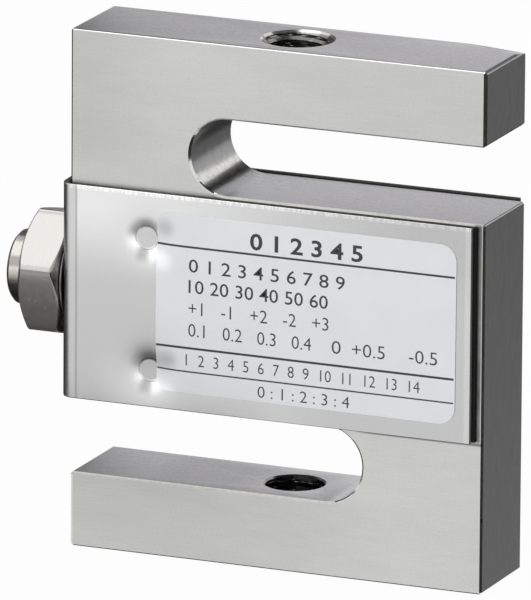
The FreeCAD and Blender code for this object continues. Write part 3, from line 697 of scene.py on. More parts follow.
@dataclass(frozen=True)
class PrintedFilm(Finish):
    """Matt silver film under a clear face."""

    spots: tuple[Spot, ...]
    # painted shade above each dimple, painted highlight below it
    patches: tuple[Patch, ...] = (Patch(2.45, 1.5, 1.6, -0.24), Patch(2.1, -2.45, 1.8, 0.20))

    def pressed(self, nodes: Nodes, x: Signal, z: Signal) -> Operand:
        """Painted shade above each dimple and a painted highlight below it, on the film, as a level to
        multiply by.

        Args:
            nodes: the tree.
            x: the place across the film.
            z: the place up the film.

        Returns:
            The level, 1 away from the dimples.
        """
        total = 1.0
        for across, up in self.spots:
            for patch in self.patches:
                off, over = x - (across + patch.right), z - (up + patch.above)
                near = nodes.math("SQRT", off * off + over * over).fall(0.2, patch.reach)
                total = (1.0 + near * patch.change) * total
        return total

    def sockets(self, nodes: Nodes) -> dict[str, Any]:
        """A fine grain in the metallised layer, and clouds of a millimetre or two in its sheen.

        Args:
            nodes: the tree.

        Returns:
            The surface shader's inputs, by socket name.
        """
        place = nodes.place()
        x, _, z = nodes.parts(place)
        grain = nodes.noise(place, (4.0, 4.0, 4.0), 3.0)
        cloud = nodes.noise(place, (0.25, 0.25, 0.25), 2.0)
        # grain and clouds are the film's own; the dimples add painted shade and painted highlight
        level = (0.95 + grain * 0.04 + cloud * 0.06) * self.pressed(nodes, x, z)
        return {"Base Color": nodes.shade(self.colour, level), "Metallic": 0.5 + (cloud - 0.5) * 0.1,
                "Roughness": self.roughness + (grain - 0.5) * 0.1, "Normal": nodes.bump(grain, 0.002)}


@dataclass(frozen=True)
class Compound(Finish):
    """A soft or cast material: grainy colour, uneven surface, no metal in it."""

    grain: float = 1.2
    unevenness: float = 0.03
    variation: float = 0.25
    shine: float = 0.5
    coat: float = 0.0
    scatter: float = 0.0

    def sockets(self, nodes: Nodes) -> dict[str, Any]:
        """Two sizes of noise shade the colour and lift the surface.

        Args:
            nodes: the tree.

        Returns:
            The surface shader's inputs, by socket name.
        """
        place = nodes.place()
        coarse = nodes.noise(place, (self.grain * 0.3,) * 3, 2.0)
        fine = nodes.noise(place, (self.grain,) * 3, 4.0, (1.0, 2.0, 3.0))
        level = 1.0 - self.variation / 2 + (coarse * 0.5 + fine * 0.5) * self.variation
        return {"Base Color": nodes.shade(self.colour, level), "Metallic": 0.0,
                "Roughness": self.roughness + (fine - 0.5) * 0.2, "Specular IOR Level": self.shine,
                "Coat Weight": self.coat, "Subsurface Weight": self.scatter,
                "Normal": nodes.bump(coarse + fine * 0.5, self.unevenness)}


@dataclass(frozen=True)
class SoftMetal(Finish):
    """Solder, wire or brass: bright, slightly uneven metal."""

    grain: float = 2.0
    unevenness: float = 0.01

    def sockets(self, nodes: Nodes) -> dict[str, Any]:
        """Noise dulls the metal in spots and lifts it.

        Args:
            nodes: the tree.

        Returns:
            The surface shader's inputs, by socket name.
        """
        spot = nodes.noise(nodes.place(), (self.grain,) * 3, 3.0)
        return {"Base Color": nodes.shade(self.colour, 0.86 + spot * 0.28), "Metallic": 1.0,
                "Roughness": self.roughness + (spot - 0.5) * 0.2,
                "Normal": nodes.bump(spot, self.unevenness)}


@dataclass(frozen=True)
class GaugeFoil(Finish):
    """Amber carrier film with the foil's fine grid of lines across it."""

    foil: Colour = (0.55, 0.42, 0.30)
    line_pitch: float = 0.5
    half_grid: float = 2.1

    def sockets(self, nodes: Nodes) -> dict[str, Any]:
        """The grid's lines run along X: a wave across Y, cut to the middle of the gauge's width.

        Args:
            nodes: the tree.

        Returns:
            The surface shader's inputs, by socket name.
        """
        place = nodes.place()
        _, y, _ = nodes.parts(place)
        wave = nodes.math("SINE", y * (2 * np.pi / self.line_pitch))
        line = wave.ramp(-0.15, 0.15) * abs(y).fall(self.half_grid, self.half_grid + 0.1)
        spot = nodes.noise(place, (1.5, 1.5, 1.5), 3.0)
        film = nodes.shade(self.colour, 0.85 + spot * 0.3)
        return {"Base Color": nodes.blend(line, film, self.foil), "Metallic": line * 0.9,
                "Roughness": self.roughness - line * 0.1, "Normal": nodes.bump(line, 0.01)}


@dataclass(frozen=True)
class WovenLaminate(Finish):
    """Green board: glass weave under lacquer."""

    threads: float = 14.0

    def sockets(self, nodes: Nodes) -> dict[str, Any]:
        """Two crossed sine waves of the weave, shaded by noise.

        Args:
            nodes: the tree.

        Returns:
            The surface shader's inputs, by socket name.
        """
        place = nodes.place()
        _, y, z = nodes.parts(place)
        weave = nodes.math("SINE", y * self.threads) * nodes.math("SINE", z * self.threads)
        spot = nodes.noise(place, (1.2, 1.2, 1.2), 2.0)
        return {"Base Color": nodes.shade(self.colour, 0.85 + weave * 0.12 + spot * 0.3),
                "Metallic": 0.0, "Roughness": self.roughness, "Coat Weight": 0.3,
                "Normal": nodes.bump(weave, 0.01)}


# --- meshes ------------------------------------------------------------------------------------


def grid_quads(rows: int, columns: int, wrap: bool = False) -> Array:
    """The four corners of every cell of a grid of points numbered row by row.

    Args:
        rows: the number of rows.
        columns: the number of columns.
        wrap: whether the last row joins the first and the last column joins the first.

    Returns:
        One line of four point numbers per cell.
    """
    row, column = np.meshgrid(np.arange(rows - (not wrap)), np.arange(columns - (not wrap)),
                              indexing="ij")
    below, right = (row + 1) % rows, (column + 1) % columns
    corners = [row * columns + column, below * columns + column,
               below * columns + right, row * columns + right]
    return np.stack(corners, -1).reshape(-1, 4)


def linked(name: str, data: bpy.types.ID) -> bpy.types.Object:
    """Puts a mesh, curve, lamp or camera in the scene as an object.

    Args:
        name: the object's name.
        data: what it holds.

    Returns:
        The object.
    """
    made = bpy.data.objects.new(name, data)
    bpy.context.scene.collection.objects.link(made)
    return made


def turned_out(mesh: bpy.types.Mesh) -> None:
    """Turns the faces of a closed mesh outwards.

    Args:
        mesh: the mesh.
    """
    shape = bmesh.new()
    shape.from_mesh(mesh)
    bmesh.ops.recalc_face_normals(shape, faces=shape.faces)
    shape.to_mesh(mesh)
    shape.free()


def closed_sheet(outer: Array, inner: Array) -> tuple[Array, Array]:
    """A closed sheet from two grids of points that face each other.

    The two grids are joined by one strip of cells along their common rim.

    Args:
        outer: points of the outer face, rows by columns by three.
        inner: points of the inner face, in the same order.

    Returns:
        The points, one per line, and the cells.
    """
    rows, columns = outer.shape[:2]
    cells = grid_quads(rows, columns)
    number = np.arange(rows * columns).reshape(rows, columns)
    rim = np.concatenate([number[0, :-1], number[:-1, -1], number[-1, :0:-1], number[:0:-1, 0]])
    after, count = np.roll(rim, -1), rows * columns
    wall = np.stack([rim, after, after + count, rim + count], -1)
    points = np.concatenate([outer.reshape(-1, 3), inner.reshape(-1, 3)])
    return points, np.concatenate([cells, cells[:, ::-1] + count, wall])


def facing_out(points: Array, cells: Array) -> Array:
    """Turns the cells of a closed shape outwards.

    The volume is the sum, over each cell's two triangles, of a sixth of the triple product of their
    corners; where it is negative, every cell is read backwards.

    Args:
        points: the points, one per line.
        cells: four point numbers per line.

    Returns:
        The cells, facing outwards.
    """
    a, b, c, d = (points[cells[:, k]] for k in range(4))
    volume = np.einsum("ij,ij->", a, np.cross(b, c)) + np.einsum("ij,ij->", a, np.cross(c, d))
    return cells if volume > 0 else cells[:, ::-1]


def steps(*stops: tuple[float, float]) -> Array:
    """Places along a line whose spacing changes from stretch to stretch.

    Args:
        stops: end of each stretch and the spacing up to it; the first pair's spacing isn't used.

    Returns:
        The places, in order.
    """
    ends = [stop[0] for stop in stops]
    spans = [np.linspace(low, high, max(1, round(abs(high - low) / step)) + 1)[1:]
             for low, high, (_, step) in zip(ends, ends[1:], stops[1:])]
    return np.concatenate([[ends[0]], *spans])


def smooth_step(value: Array, start: float, end: float) -> Array:
    """0 up to start, 1 from end, and 3t^2 - 2t^3 between them."""
    t = np.clip((value - start) / (end - start), 0.0, 1.0)
    return t * t * (3.0 - 2.0 * t)


@dataclass(frozen=True)
class Edges:
    """How a piece's edges are finished: the bevel's width and the angle from which an edge counts."""

    width: float = 0.0
    segments: int = 2
    angle: float = 35.0

    def apply(self, piece: bpy.types.Object) -> None:
        """Shades the piece smooth but for its edges, and bevels those.

        Args:
            piece: the mesh object.
        """
        piece.data.shade_smooth()
        piece.data.set_sharp_from_angle(angle=float(np.radians(self.angle)))
        if self.width > 0:
            bevel = piece.modifiers.new("edge_bevel", "BEVEL")
            bevel.width = self.width * MM
            bevel.segments = self.segments
            bevel.limit_method = "ANGLE"
            bevel.angle_limit = float(np.radians(self.angle))
            bevel.harden_normals = True


def soft_normals(mesh: bpy.types.Mesh, widest: Array) -> None:
    """Rounds a mesh's shading without moving it.

    Each corner takes the mean normal of the faces round its point that turn less than the widest
    angle from its own face, each weighed by its area, so that broad flats stay flat.

    Args:
        mesh: the mesh, whose corners are stored face by face.
        widest: the widest angle for each face, in degrees.
    """
    count, faces = len(mesh.loops), len(mesh.polygons)
    point, size = np.empty(count, np.int32), np.empty(faces, np.int32)
    area, normal = np.empty(faces), np.empty(faces * 3)
    mesh.loops.foreach_get("vertex_index", point)
    mesh.polygons.foreach_get("loop_total", size)
    mesh.polygons.foreach_get("area", area)
    mesh.polygons.foreach_get("normal", normal)
    normal = normal.reshape(-1, 3)
    face = np.repeat(np.arange(faces), size)
    order = np.argsort(point, kind="stable")
    shared = np.bincount(point)
    start = np.cumsum(shared) - shared
    round_it = shared[point[order]]
    mine = np.repeat(np.arange(count), round_it)
    within = np.arange(round_it.sum()) - np.repeat(np.cumsum(round_it) - round_it, round_it)
    theirs = np.repeat(start[point[order]], round_it) + within
    own, other = face[order[mine]], face[order[theirs]]
    slack, tiny = 1e-4, 1e-20
    near = np.einsum("ij,ij->i", normal[own], normal[other]) >= np.cos(np.radians(widest))[own] - slack
    weight = area[other] * near
    total = np.stack([np.bincount(order[mine], weight * normal[other, k], count) for k in range(3)], -1)
    total /= np.maximum(np.linalg.norm(total, axis=1, keepdims=True), tiny)
    mesh.shade_smooth()
    mesh.normals_split_custom_set(total.tolist())


def new_piece(name: str, points: Array, cells: Array, finish: bpy.types.Material, slot: str,
              stands_for: Sequence[str] = (), edges: Edges = Edges()) -> bpy.types.Object:
    """Makes one closed piece of the object.

    Args:
        name: the piece's name.
        points: the points in millimetres, one per line.
        cells: four point numbers per line.
        finish: its material.
        slot: the record's material slot; not used.
        stands_for: the solids that it replaces.
        edges: how its edges are finished.

    Returns:
        The object, riding on the body.
    """
    mesh = bpy.data.meshes.new(name)
    mesh.from_pydata(points * MM, [], facing_out(points, cells).tolist())
    mesh.validate()
    mesh.materials.append(finish)
    piece = linked(name, mesh)
    edges.apply(piece)
    return adopt(piece, stands_for)


def adopt(piece: bpy.types.Object, stands_for: Sequence[str] = ()) -> bpy.types.Object:
    """Puts a piece on the body and the solids it stands for.

    Args:
        piece: the piece.
        stands_for: the solids that it replaces.

    Returns:
        The piece.
    """
    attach(piece, BODY)
    if stands_for:
        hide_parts(*stands_for)
    LOG.info("%s: %d faces%s", piece.name, len(piece.data.polygons),
             ", for " + " ".join(stands_for) if stands_for else "")
    return piece


def turned(profile: Array, centre: Array, turns: int = 96) -> tuple[Array, Array]:
    """A ring turned round the gland's axis: a closed profile carried round a circle.

    The point at place u and radius r goes, at angle t, to (-u, r sin t, r cos t) from the centre.

    Args:
        profile: u and r of each corner of the closed section, one per line.
        centre: where the axis meets the left side of the block.
        turns: the number of steps round the circle.

    Returns:
        The points and the cells.
    """
    angle = np.linspace(0.0, 2 * np.pi, turns, endpoint=False)[:, None]
    u, r = profile[None, :, 0], profile[None, :, 1]
    parts = np.broadcast_arrays(-u, r * np.sin(angle), r * np.cos(angle))
    return np.stack(parts, -1).reshape(-1, 3) + centre, grid_quads(turns, len(profile), wrap=True)


def box_of(node: str) -> tuple[Array, Array]:
    """The lowest and the highest corner of a solid, in millimetres."""
    low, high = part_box(node)
    return np.array(low) / MM, np.array(high) / MM


def dress_all(frame: dict[str, Any], finishes: dict[tuple[str, ...], Finish]) -> None:
    """Gives solids that keep their shape their finish.

    Args:
        frame: what the frame holds.
        finishes: the finish of each group of solids.
    """
    for names, finish in finishes.items():
        material = finish.material()
        for name in names:
            solid = frame["nodes"][name]
            solid.data.materials.clear()
            solid.data.materials.append(material)
            LOG.info("%s: finished as %s", name, finish.name)


# --- the block ---------------------------------------------------------------------------------


@dataclass
class Thread:
    """A tapped hole along Z: a metric thread's groove, which fades out at the slot."""

    mouth: float
    exit: float
    pitch: float = 1.25
    root_radius: float = 4.0
    crest_radius: float = 3.34
    crest_flat: float = 0.22
    flank: float = 0.64
    fade: tuple[float, float] = (0.25, 0.9)
    overshoot: float = 0.6
    turns: int = 96
    per_pitch: int = 14

    def plug(self) -> tuple[Array, Array]:
        """The form that the tap cuts away, as a closed mesh.

        Its radius at height z and angle t follows the thread. The phase is z / pitch minus t in turns,
        folded to run from 0 on the crest to 1 on the root. The depth is 0 over the crest's flat, rises
        in a straight line over the flank and stays 1 on the root. It fades to nothing towards the slot.

        Returns:
            The points and the cells.
        """
        outwards = np.sign(self.mouth - self.exit)
        reach = self.mouth + self.overshoot * outwards
        inner = self.exit - self.overshoot * outwards
        count = int(abs(reach - inner) / self.pitch * self.per_pitch)
        z = np.linspace(inner, reach, count)[:, None]
        angle = np.linspace(0.0, 2 * np.pi, self.turns, endpoint=False)[None, :]
        phase = np.abs(((z / self.pitch - angle / (2 * np.pi)) % 1.0) - 0.5) * 2.0
        depth = np.clip((phase - self.crest_flat) / self.flank, 0.0, 1.0)
        whole = smooth_step(np.abs(z - self.exit), *self.fade)
        radius = self.crest_radius + (self.root_radius - self.crest_radius) * depth * whole
        ring = np.broadcast_arrays(radius * np.cos(angle), radius * np.sin(angle), z)
        points = np.stack(ring, -1).reshape(-1, 3)
        row, column = np.meshgrid(np.arange(count - 1), np.arange(self.turns), indexing="ij")
        after = (column + 1) % self.turns
        side = [row * self.turns + column, row * self.turns + after,
                (row + 1) * self.turns + after, (row + 1) * self.turns + column]
        return points, np.stack(side, -1).reshape(-1, 4)

    def object(self, name: str) -> bpy.types.Object:
        """The plug as an object, its two ends closed by one face each.

        Args:
            name: the object's name.

        Returns:
            The object.
        """
        points, side = self.plug()
        last = len(points) - self.turns
        ends = [list(range(self.turns))[::-1], list(range(last, last + self.turns))]
        mesh = bpy.data.meshes.new(name)
        mesh.from_pydata(points * MM, [], side.tolist() + ends)
        turned_out(mesh)
        return linked(name, mesh)


@dataclass
class Block:
    """The steel block: the solid's own form, with its two holes tapped and one corner filed off."""

    frame: dict[str, Any]
    node: str = "s_body"
    filed_from: float = 7.2
    filed_along: float = 0.0694
    filed_across: float = 0.1667
    crisp_turn: float = 30.0
    soft_turn: float = 50.0

    def __post_init__(self) -> None:
        """Reads the block's extent."""
        self.low, self.high = box_of(self.node)
        self.form = BlockForm(float(self.high[0]), float(self.low[1]), float(self.high[2]))

    def build(self) -> bpy.types.Object:
        """Copies the solid, cuts both threads and the filed corner out of the copy and finishes it.

        Returns:
            The block, which stands for its solid.
        """
        block = self.merged_copy("block")
        bottom, top, beam = self.low[2], self.high[2], self.form.beam_height
        threads = {"upper_plug": Thread(top, top - beam), "lower_plug": Thread(bottom, bottom + beam)}
        for name, thread in threads.items():
            self.cut(block, thread.object(name))
        self.cut(block, self.filed_corner())
        steel = MachinedSteel("machined_steel", (0.59, 0.59, 0.575), 0.17, self.form)
        block.data.materials.clear()
        block.data.materials.append(steel.material())
        soft_normals(block.data, self.widest_angle(block.data))
        return adopt(block, (self.node,))

    def filed_corner(self) -> bpy.types.Object:
        """The form filed off the free end's rear top corner, as a closed four-cornered solid.

        Its lower face lies in the plane z = top - along (x - end + from) - across (y - back), so the
        top slopes down to the right and to the back.

        Returns:
            The form.
        """
        past_end, past_back, over = 4.6, 6.0, 2.1
        inwards, forwards = -17.4, -8.0
        corner = np.array([(inwards, past_back), (past_end, forwards), (past_end, past_back)])
        drop = self.filed_along * (corner[:, 0] + self.filed_from) + self.filed_across * corner[:, 1]
        points = np.vstack([np.column_stack([corner + self.high[:2], self.high[2] - drop]),
                            self.high + (past_end, past_back, over)])
        mesh = bpy.data.meshes.new("filed_corner")
        mesh.from_pydata(points * MM, [], [(0, 2, 1), (0, 1, 3), (1, 2, 3), (2, 0, 3)])
        return linked("filed_corner", mesh)

    def widest_angle(self, mesh: bpy.types.Mesh) -> Array:
        """How far the shading of each face may turn: over the narrow chamfers of level edges, but crisp
        in the holes, on upright edges, along the slots' front lips and round the free ends.

        Args:
            mesh: the block's mesh.

        Returns:
            An angle for each face, in degrees.
        """
        centre, normal = np.empty(len(mesh.polygons) * 3), np.empty(len(mesh.polygons) * 3)
        mesh.polygons.foreach_get("center", centre)
        mesh.polygons.foreach_get("normal", normal)
        x, y, z = centre.reshape(-1, 3).T / MM
        form = self.form
        free_end = (np.abs(x) > form.end - 0.6) & (np.abs(z - form.top / 2) > 20.0)
        to_lip = np.minimum(np.abs(z - form.beam_height + 0.1), np.abs(z - form.section[1] + 0.1))
        lip = (to_lip < 0.2) & (y < form.front + 0.2)
        in_hole, upright = np.hypot(x, y) < form.thread_root + 0.6, np.abs(normal[2::3]) < 0.5
        return np.where(in_hole | upright | free_end | lip, self.crisp_turn, self.soft_turn)

    def merged_copy(self, name: str) -> bpy.types.Object:
        """A copy of the solid, its doubled points merged.

        Args:
            name: the copy's name.

        Returns:
            The copy.
        """
        mesh = self.frame["nodes"][self.node].data.copy()
        mesh.name = name
        shape = bmesh.new()
        shape.from_mesh(mesh)
        bmesh.ops.remove_doubles(shape, verts=shape.verts, dist=1e-7)
        shape.to_mesh(mesh)
        shape.free()
        return linked(name, mesh)

    def cut(self, block: bpy.types.Object, tool: bpy.types.Object) -> None:
        """Takes the tool's form out of the block, then removes the tool.

        Args:
            block: what is cut.
            tool: a closed form.
        """
        cutter = block.modifiers.new("tap", "BOOLEAN")
        cutter.operation = "DIFFERENCE"
        cutter.solver = "EXACT"
        cutter.object = tool
        seen = block.evaluated_get(bpy.context.evaluated_depsgraph_get())
        result = bpy.data.meshes.new_from_object(seen)
        block.modifiers.remove(cutter)
        block.data = result
        bpy.data.objects.remove(tool)


# --- the cover and its label -------------------------------------------------------------------


@dataclass(frozen=True)
class Dents:
    """The spot dimples of one flange, as a depth at every point of the sheet."""

    spots: tuple[Spot, ...]
    depth: float = 0.44
    floor: float = 1.24
    mouth: float = 1.42
    step: float = 0.04
    pull: float = 1.45
    fall: float = 1.25

    def at(self, x: Array, z: Array) -> Array:
        """How far the sheet is pressed in.

        Within the floor's radius the depth is whole. It falls by a small smooth step at the floor's
        rim, and the rest dies away as exp(-(d / pull) ^ fall), where d is the way from the floor.

        Args:
            x: places across the sheet.
            z: places up the sheet.

        Returns:
            The depth at each place.
        """
        total = np.zeros(np.broadcast(x, z).shape)
        for across, up in self.spots:
            r = np.hypot(x - across, z - up)
            wall = 1.0 - smooth_step(r, self.floor, self.mouth)
            bowl = np.exp(-(np.maximum(r - self.floor, 0.0) / self.pull) ** self.fall)
            total = np.maximum(total, self.step * wall + (self.depth - self.step) * bowl)
        return total


@dataclass
class Cover:
    """One folded sheet round the front, the left side and the back of the middle section."""

    node: str = "wrap_cover"
    sheet: float = 0.5
    bend: float = 1.55
    front_short: float = 0.4
    rear_rise: float = 0.40
    upper_dimple: Spot = (9.73, 5.43)
    lower_dimple: Spot = (10.17, 4.30)

    def __post_init__(self) -> None:
        """Reads the sheet's extent and sets the places of its dimples, each of which is given from the
        block's left side and from the sheet's nearer long edge."""
        self.low, self.high = box_of(self.node)
        self.front_end = self.high[0] - self.front_short
        left_side = box_of("s_body")[0][0]
        self.dents = Dents(((left_side + self.upper_dimple[0], self.high[2] - self.upper_dimple[1]),
                            (left_side + self.lower_dimple[0], self.low[2] + self.lower_dimple[1])))

    def section(self) -> tuple[Array, Array]:
        """The sheet's outer line, seen from above, from the front flange's end to the rear one's.

        Two straight flanges and the straight web are joined by quarter circles of the bend's radius.

        Returns:
            The points of the line and the outward direction at each, x and y per line.
        """
        (left, front, _), (right, back, _), r = self.low, self.high, self.bend
        spot = float(np.mean([spot[0] for spot in self.dents.spots]))
        flange = steps((left + r, 0), (spot - 5.0, 0.6), (spot - 2.0, 0.2), (spot + 2.0, 0.1),
                       (spot + 6.0, 0.2), (right - 6.0, 3.0), (right, 1.5))
        t = np.linspace(0.0, np.pi / 2, 13)
        web = steps((front + r, 0), (back - r, 1.0))[1:-1]
        runs = []
        for side, end in ((front, self.front_end), (back, right)):
            x = np.where(flange == right, end, flange)
            runs.append(np.stack([x, np.full_like(x, side)], -1))
        line = np.concatenate([
            runs[0][::-1],
            np.stack([left + r - r * np.sin(t), front + r - r * np.cos(t)], -1)[1:-1],
            np.stack([np.full(len(web) + 2, left), np.concatenate([[front + r], web, [back - r]])], -1),
            np.stack([left + r - r * np.cos(t), back - r + r * np.sin(t)], -1)[1:-1],
            runs[1]])
        bend = np.stack([np.sin(t), np.cos(t)], -1)[1:-1]
        out = np.concatenate([
            np.tile([0.0, -1.0], (len(flange), 1)), bend * (-1, -1),
            np.tile([-1.0, 0.0], (len(web) + 2, 1)), bend[::-1] * (-1, 1),
            np.tile([0.0, 1.0], (len(flange), 1))])
        return line, out

    def build(self) -> bpy.types.Object:
        """Builds the sheet: the section carried up Z, pressed in at the dimples.

        The outer point is the section's; the inner one is the sheet's thickness further in. On a
        flange both move in by the dents' depth, which is nothing on the web. The rear flange stands
        a little higher than the front one, and the web rises in between.

        Returns:
            The cover, which stands for its solid.
        """
        line, out = self.section()
        upper, lower = (spot[1] for spot in self.dents.spots)
        coarse, fine, round_it = 0.2, 0.1, 1.7
        z = steps((self.low[2], 0), (lower - round_it, coarse), (lower + round_it, fine),
                  (upper - round_it, coarse), (upper + round_it, fine), (self.high[2], coarse))
        x, y = line[:, 0][None, :], line[:, 1][None, :]
        rise = self.rear_rise * smooth_step(y, self.low[1], self.high[1])
        up = z[:, None] + rise
        inwards = self.dents.at(x, z[:, None]) * np.abs(out[:, 1])[None, :]
        faces = []
        for depth in (0.0, self.sheet):
            move = inwards + depth
            parts = np.broadcast_arrays(x - out[:, 0] * move, y - out[:, 1] * move, up)
            faces.append(np.stack(parts, -1))
        points, cells = closed_sheet(*faces)
        finish = SatinSheet("satin_sheet", (0.66, 0.665, 0.66), 0.25, left=float(self.low[0]),
                            end=float(self.front_end), top=float(self.high[2]), spots=self.dents.spots)
        return new_piece("cover", points, cells, finish.material(), "cover_steel", (self.node,),
                         Edges(width=0.12, angle=40.0))


class Weight(Enum):
    """How heavily a line of print is drawn: the width added to its strokes, in em."""

    LIGHT = -0.006
    REGULAR = 0.003
    BOLD = 0.020


@dataclass(frozen=True)
class PrintLine:
    """One line of plain figures: its text, the places of its left and right ends and its base line,
    its height and its weight."""

    text: str
    left: float
    right: float
    up: float
    height: float
    weight: Weight = Weight.REGULAR


@dataclass(frozen=True)
class Rule:
    """One ruled line: its piece's name, its height above the film's middle and its thickness."""

    name: str
    up: float
    thick: float


@dataclass
class Label:
    """A thin film on the front flange, with ruled lines and plain figures printed on it."""

    dents: Dents
    node: str = "rating_label"
    film: float = 0.09
    ink: float = 0.009
    sunk: float = 0.012
    tilt: float = -0.25
    print_tilt: float = -0.17
    left_corner: float = 1.4
    right_corner: float = 2.0
    rule_margins: tuple[float, float] = (0.03, 0.18)
    rules: tuple[Rule, ...] = (Rule("rule_upper", 6.69, 0.24), Rule("rule_middle", -5.16, 0.26),
                               Rule("rule_lower", -7.94, 0.17))
    margin: float = -14.33
    lines: tuple[PrintLine, ...] = (
        PrintLine("0 1 2 3 4 5", -6.83, 6.97, 7.28, 2.65, Weight.BOLD),
        PrintLine("0 1 2 3 4 5 6 7 8 9", margin, 4.82, 3.78, 2.2),
        PrintLine("10 20 30 40 50 60", margin, 2.77, 1.33, 2.2),
        PrintLine("+1   -1   +2   -2   +3", margin, 2.87, -1.22, 2.2, Weight.LIGHT),
        PrintLine("0.1   0.2   0.3   0.4", margin, 0.77, -3.77, 2.2, Weight.LIGHT),
        PrintLine("0", 3.3, 4.4, -3.77, 2.2, Weight.LIGHT),
        PrintLine("+0.5    -0.5", 5.77, 16.17, -3.77, 2.2, Weight.LIGHT),
        PrintLine("1  2  3  4  5  6  7  8  9  10  11  12  13  14", -14.63, 14.07, -7.22, 1.95,
                  Weight.LIGHT),
        PrintLine("0 : 1 : 2 : 3 : 4", -5.73, 5.52, -9.97, 1.95, Weight.LIGHT))

    def __post_init__(self) -> None:
        """Reads where the film lies."""
        low, high = box_of(self.node)
        turn = abs(np.radians(self.tilt))
        wide, tall = high[0] - low[0], high[2] - low[2]
        self.base = high[1]
        self.middle = np.array([(low[0] + high[0]) / 2, (low[2] + high[2]) / 2])
        self.size = np.array([wide - tall * np.sin(turn), tall - wide * np.sin(turn)])

    def turned_in_place(self, across: Array, up: Array, tilt: float) -> tuple[Array, Array]:
        """Turns places, taken from the film's middle, by a tilt, and puts them on the flange.

        Args:
            across: places to the right of the film's middle.
            up: places above it.
            tilt: the turn, in degrees.

        Returns:
            The places along X and along Z.
        """
        turn = np.radians(tilt)
        x = self.middle[0] + across * np.cos(turn) - up * np.sin(turn)
        z = self.middle[1] + across * np.sin(turn) + up * np.cos(turn)
        return x, z

    def film_piece(self) -> bpy.types.Object:
        """Builds the film.

        Row by row, it runs from its left to its right end, and each end is drawn in by its corner's
        circle; the whole is tilted and follows the dents of the flange.

        Returns:
            The film, which stands for its solid.
        """
        wide, tall = self.size / 2
        corner = np.sin(np.linspace(0.0, np.pi / 2, 9))
        r = self.right_corner
        up = np.concatenate([-tall + r - r * corner[::-1], np.linspace(-tall + r, tall - r, 60)[1:-1],
                             tall - r + r * corner])[:, None]
        over = [np.maximum(np.abs(up) - (tall - radius), 0.0) for radius in (self.left_corner, r)]
        ends = [wide - radius + np.sqrt(np.maximum(radius ** 2 - beyond ** 2, 0.0))
                for radius, beyond in zip((self.left_corner, r), over)]
        share = steps((0.0, 0), (0.14, 0.005), (1.0, 0.06))[None, :]
        across = -ends[0] + share * (ends[0] + ends[1])
        x, z = self.turned_in_place(across, np.broadcast_to(up, across.shape), self.tilt)
        dent = self.dents.at(x, z)
        faces = [np.stack([x, self.base - lift + dent, z], -1) for lift in (self.film, 0.0)]
        points, cells = closed_sheet(*faces)
        finish = PrintedFilm("silver_film", (0.80, 0.81, 0.833), 0.32,
                             spots=self.dents.spots).material()
        return new_piece("label_film", points, cells, finish, "label_film", (self.node,))

    def rule(self, rule: Rule) -> tuple[Array, Array]:
        """One ruled line across the film, between its margins, which follows the dents. Its steps are
        finer at its left end, where the dents are.

        Args:
            rule: the line.

        Returns:
            The points and the cells of a thin closed strip.
        """
        wide, (left, right) = self.size[0] / 2, self.rule_margins
        share = steps((0.0, 0), (0.16, 0.004), (1.0, 0.06))
        start, end = left - wide, wide - right
        across = (start + share * (end - start))[None, :]
        level = (rule.up + np.array([-0.5, 0.5]) * rule.thick)[:, None]
        x, z = self.turned_in_place(*np.broadcast_arrays(across, level), self.print_tilt)
        face = self.base - self.film + self.dents.at(x, z)
        return closed_sheet(*(np.stack([x, face - lift, z], -1) for lift in (self.ink, -self.sunk)))

    def figures(self, line: PrintLine) -> tuple[Array, list[list[int]]]:
        """The strokes of one line of figures, as flat faces with a thin edge.

        Args:
            line: the line.

        Returns:
            The points in millimetres and the faces.
        """
        curve = bpy.data.curves.new("figures", "FONT")
        curve.body = line.text
        curve.size = line.height
        curve.offset = line.weight.value * line.height
        curve.extrude = self.ink
        curve.resolution_u = 3
        text = linked("figures", curve)
        seen = text.evaluated_get(bpy.context.evaluated_depsgraph_get())
        mesh = bpy.data.meshes.new_from_object(seen)
        flat = np.empty(len(mesh.vertices) * 3)
        mesh.vertices.foreach_get("co", flat)
        flat = flat.reshape(-1, 3)
        faces = [list(face.vertices) for face in mesh.polygons]
        bpy.data.objects.remove(text)
        bpy.data.meshes.remove(mesh)
        share = (flat[:, 0] - flat[:, 0].min()) / np.ptp(flat[:, 0])
        across = line.left + share * (line.right - line.left)
        x, z = self.turned_in_place(across, flat[:, 1] + line.up, self.print_tilt)
        y = self.base - self.film - flat[:, 2] + self.dents.at(x, z)
        return np.stack([x, y, z], -1), faces

    def build(self) -> list[bpy.types.Object]:
        """Builds the film, its three rules and its figures, which are one mesh.

        Returns:
            The pieces.
        """
        ink = Compound("printing_ink", (0.035, 0.035, 0.038), 0.42, grain=3.0, unevenness=0.002,
                       variation=0.3).material()
        pieces = [self.film_piece()]
        for rule in self.rules:
            pieces.append(new_piece(rule.name, *self.rule(rule), ink, "label_film"))
        points, faces, count = [], [], 0
        for line in self.lines:
            more, cells = self.figures(line)
            points.append(more)
            faces += [[number + count for number in cell] for cell in cells]
            count += len(more)
        mesh = bpy.data.meshes.new("label_figures")
        mesh.from_pydata(np.concatenate(points) * MM, [], faces)
        turned_out(mesh)
        mesh.materials.append(ink)
        pieces.append(adopt(linked("label_figures", mesh)))
        return pieces


# --- the gland ---------------------------------------------------------------------------------


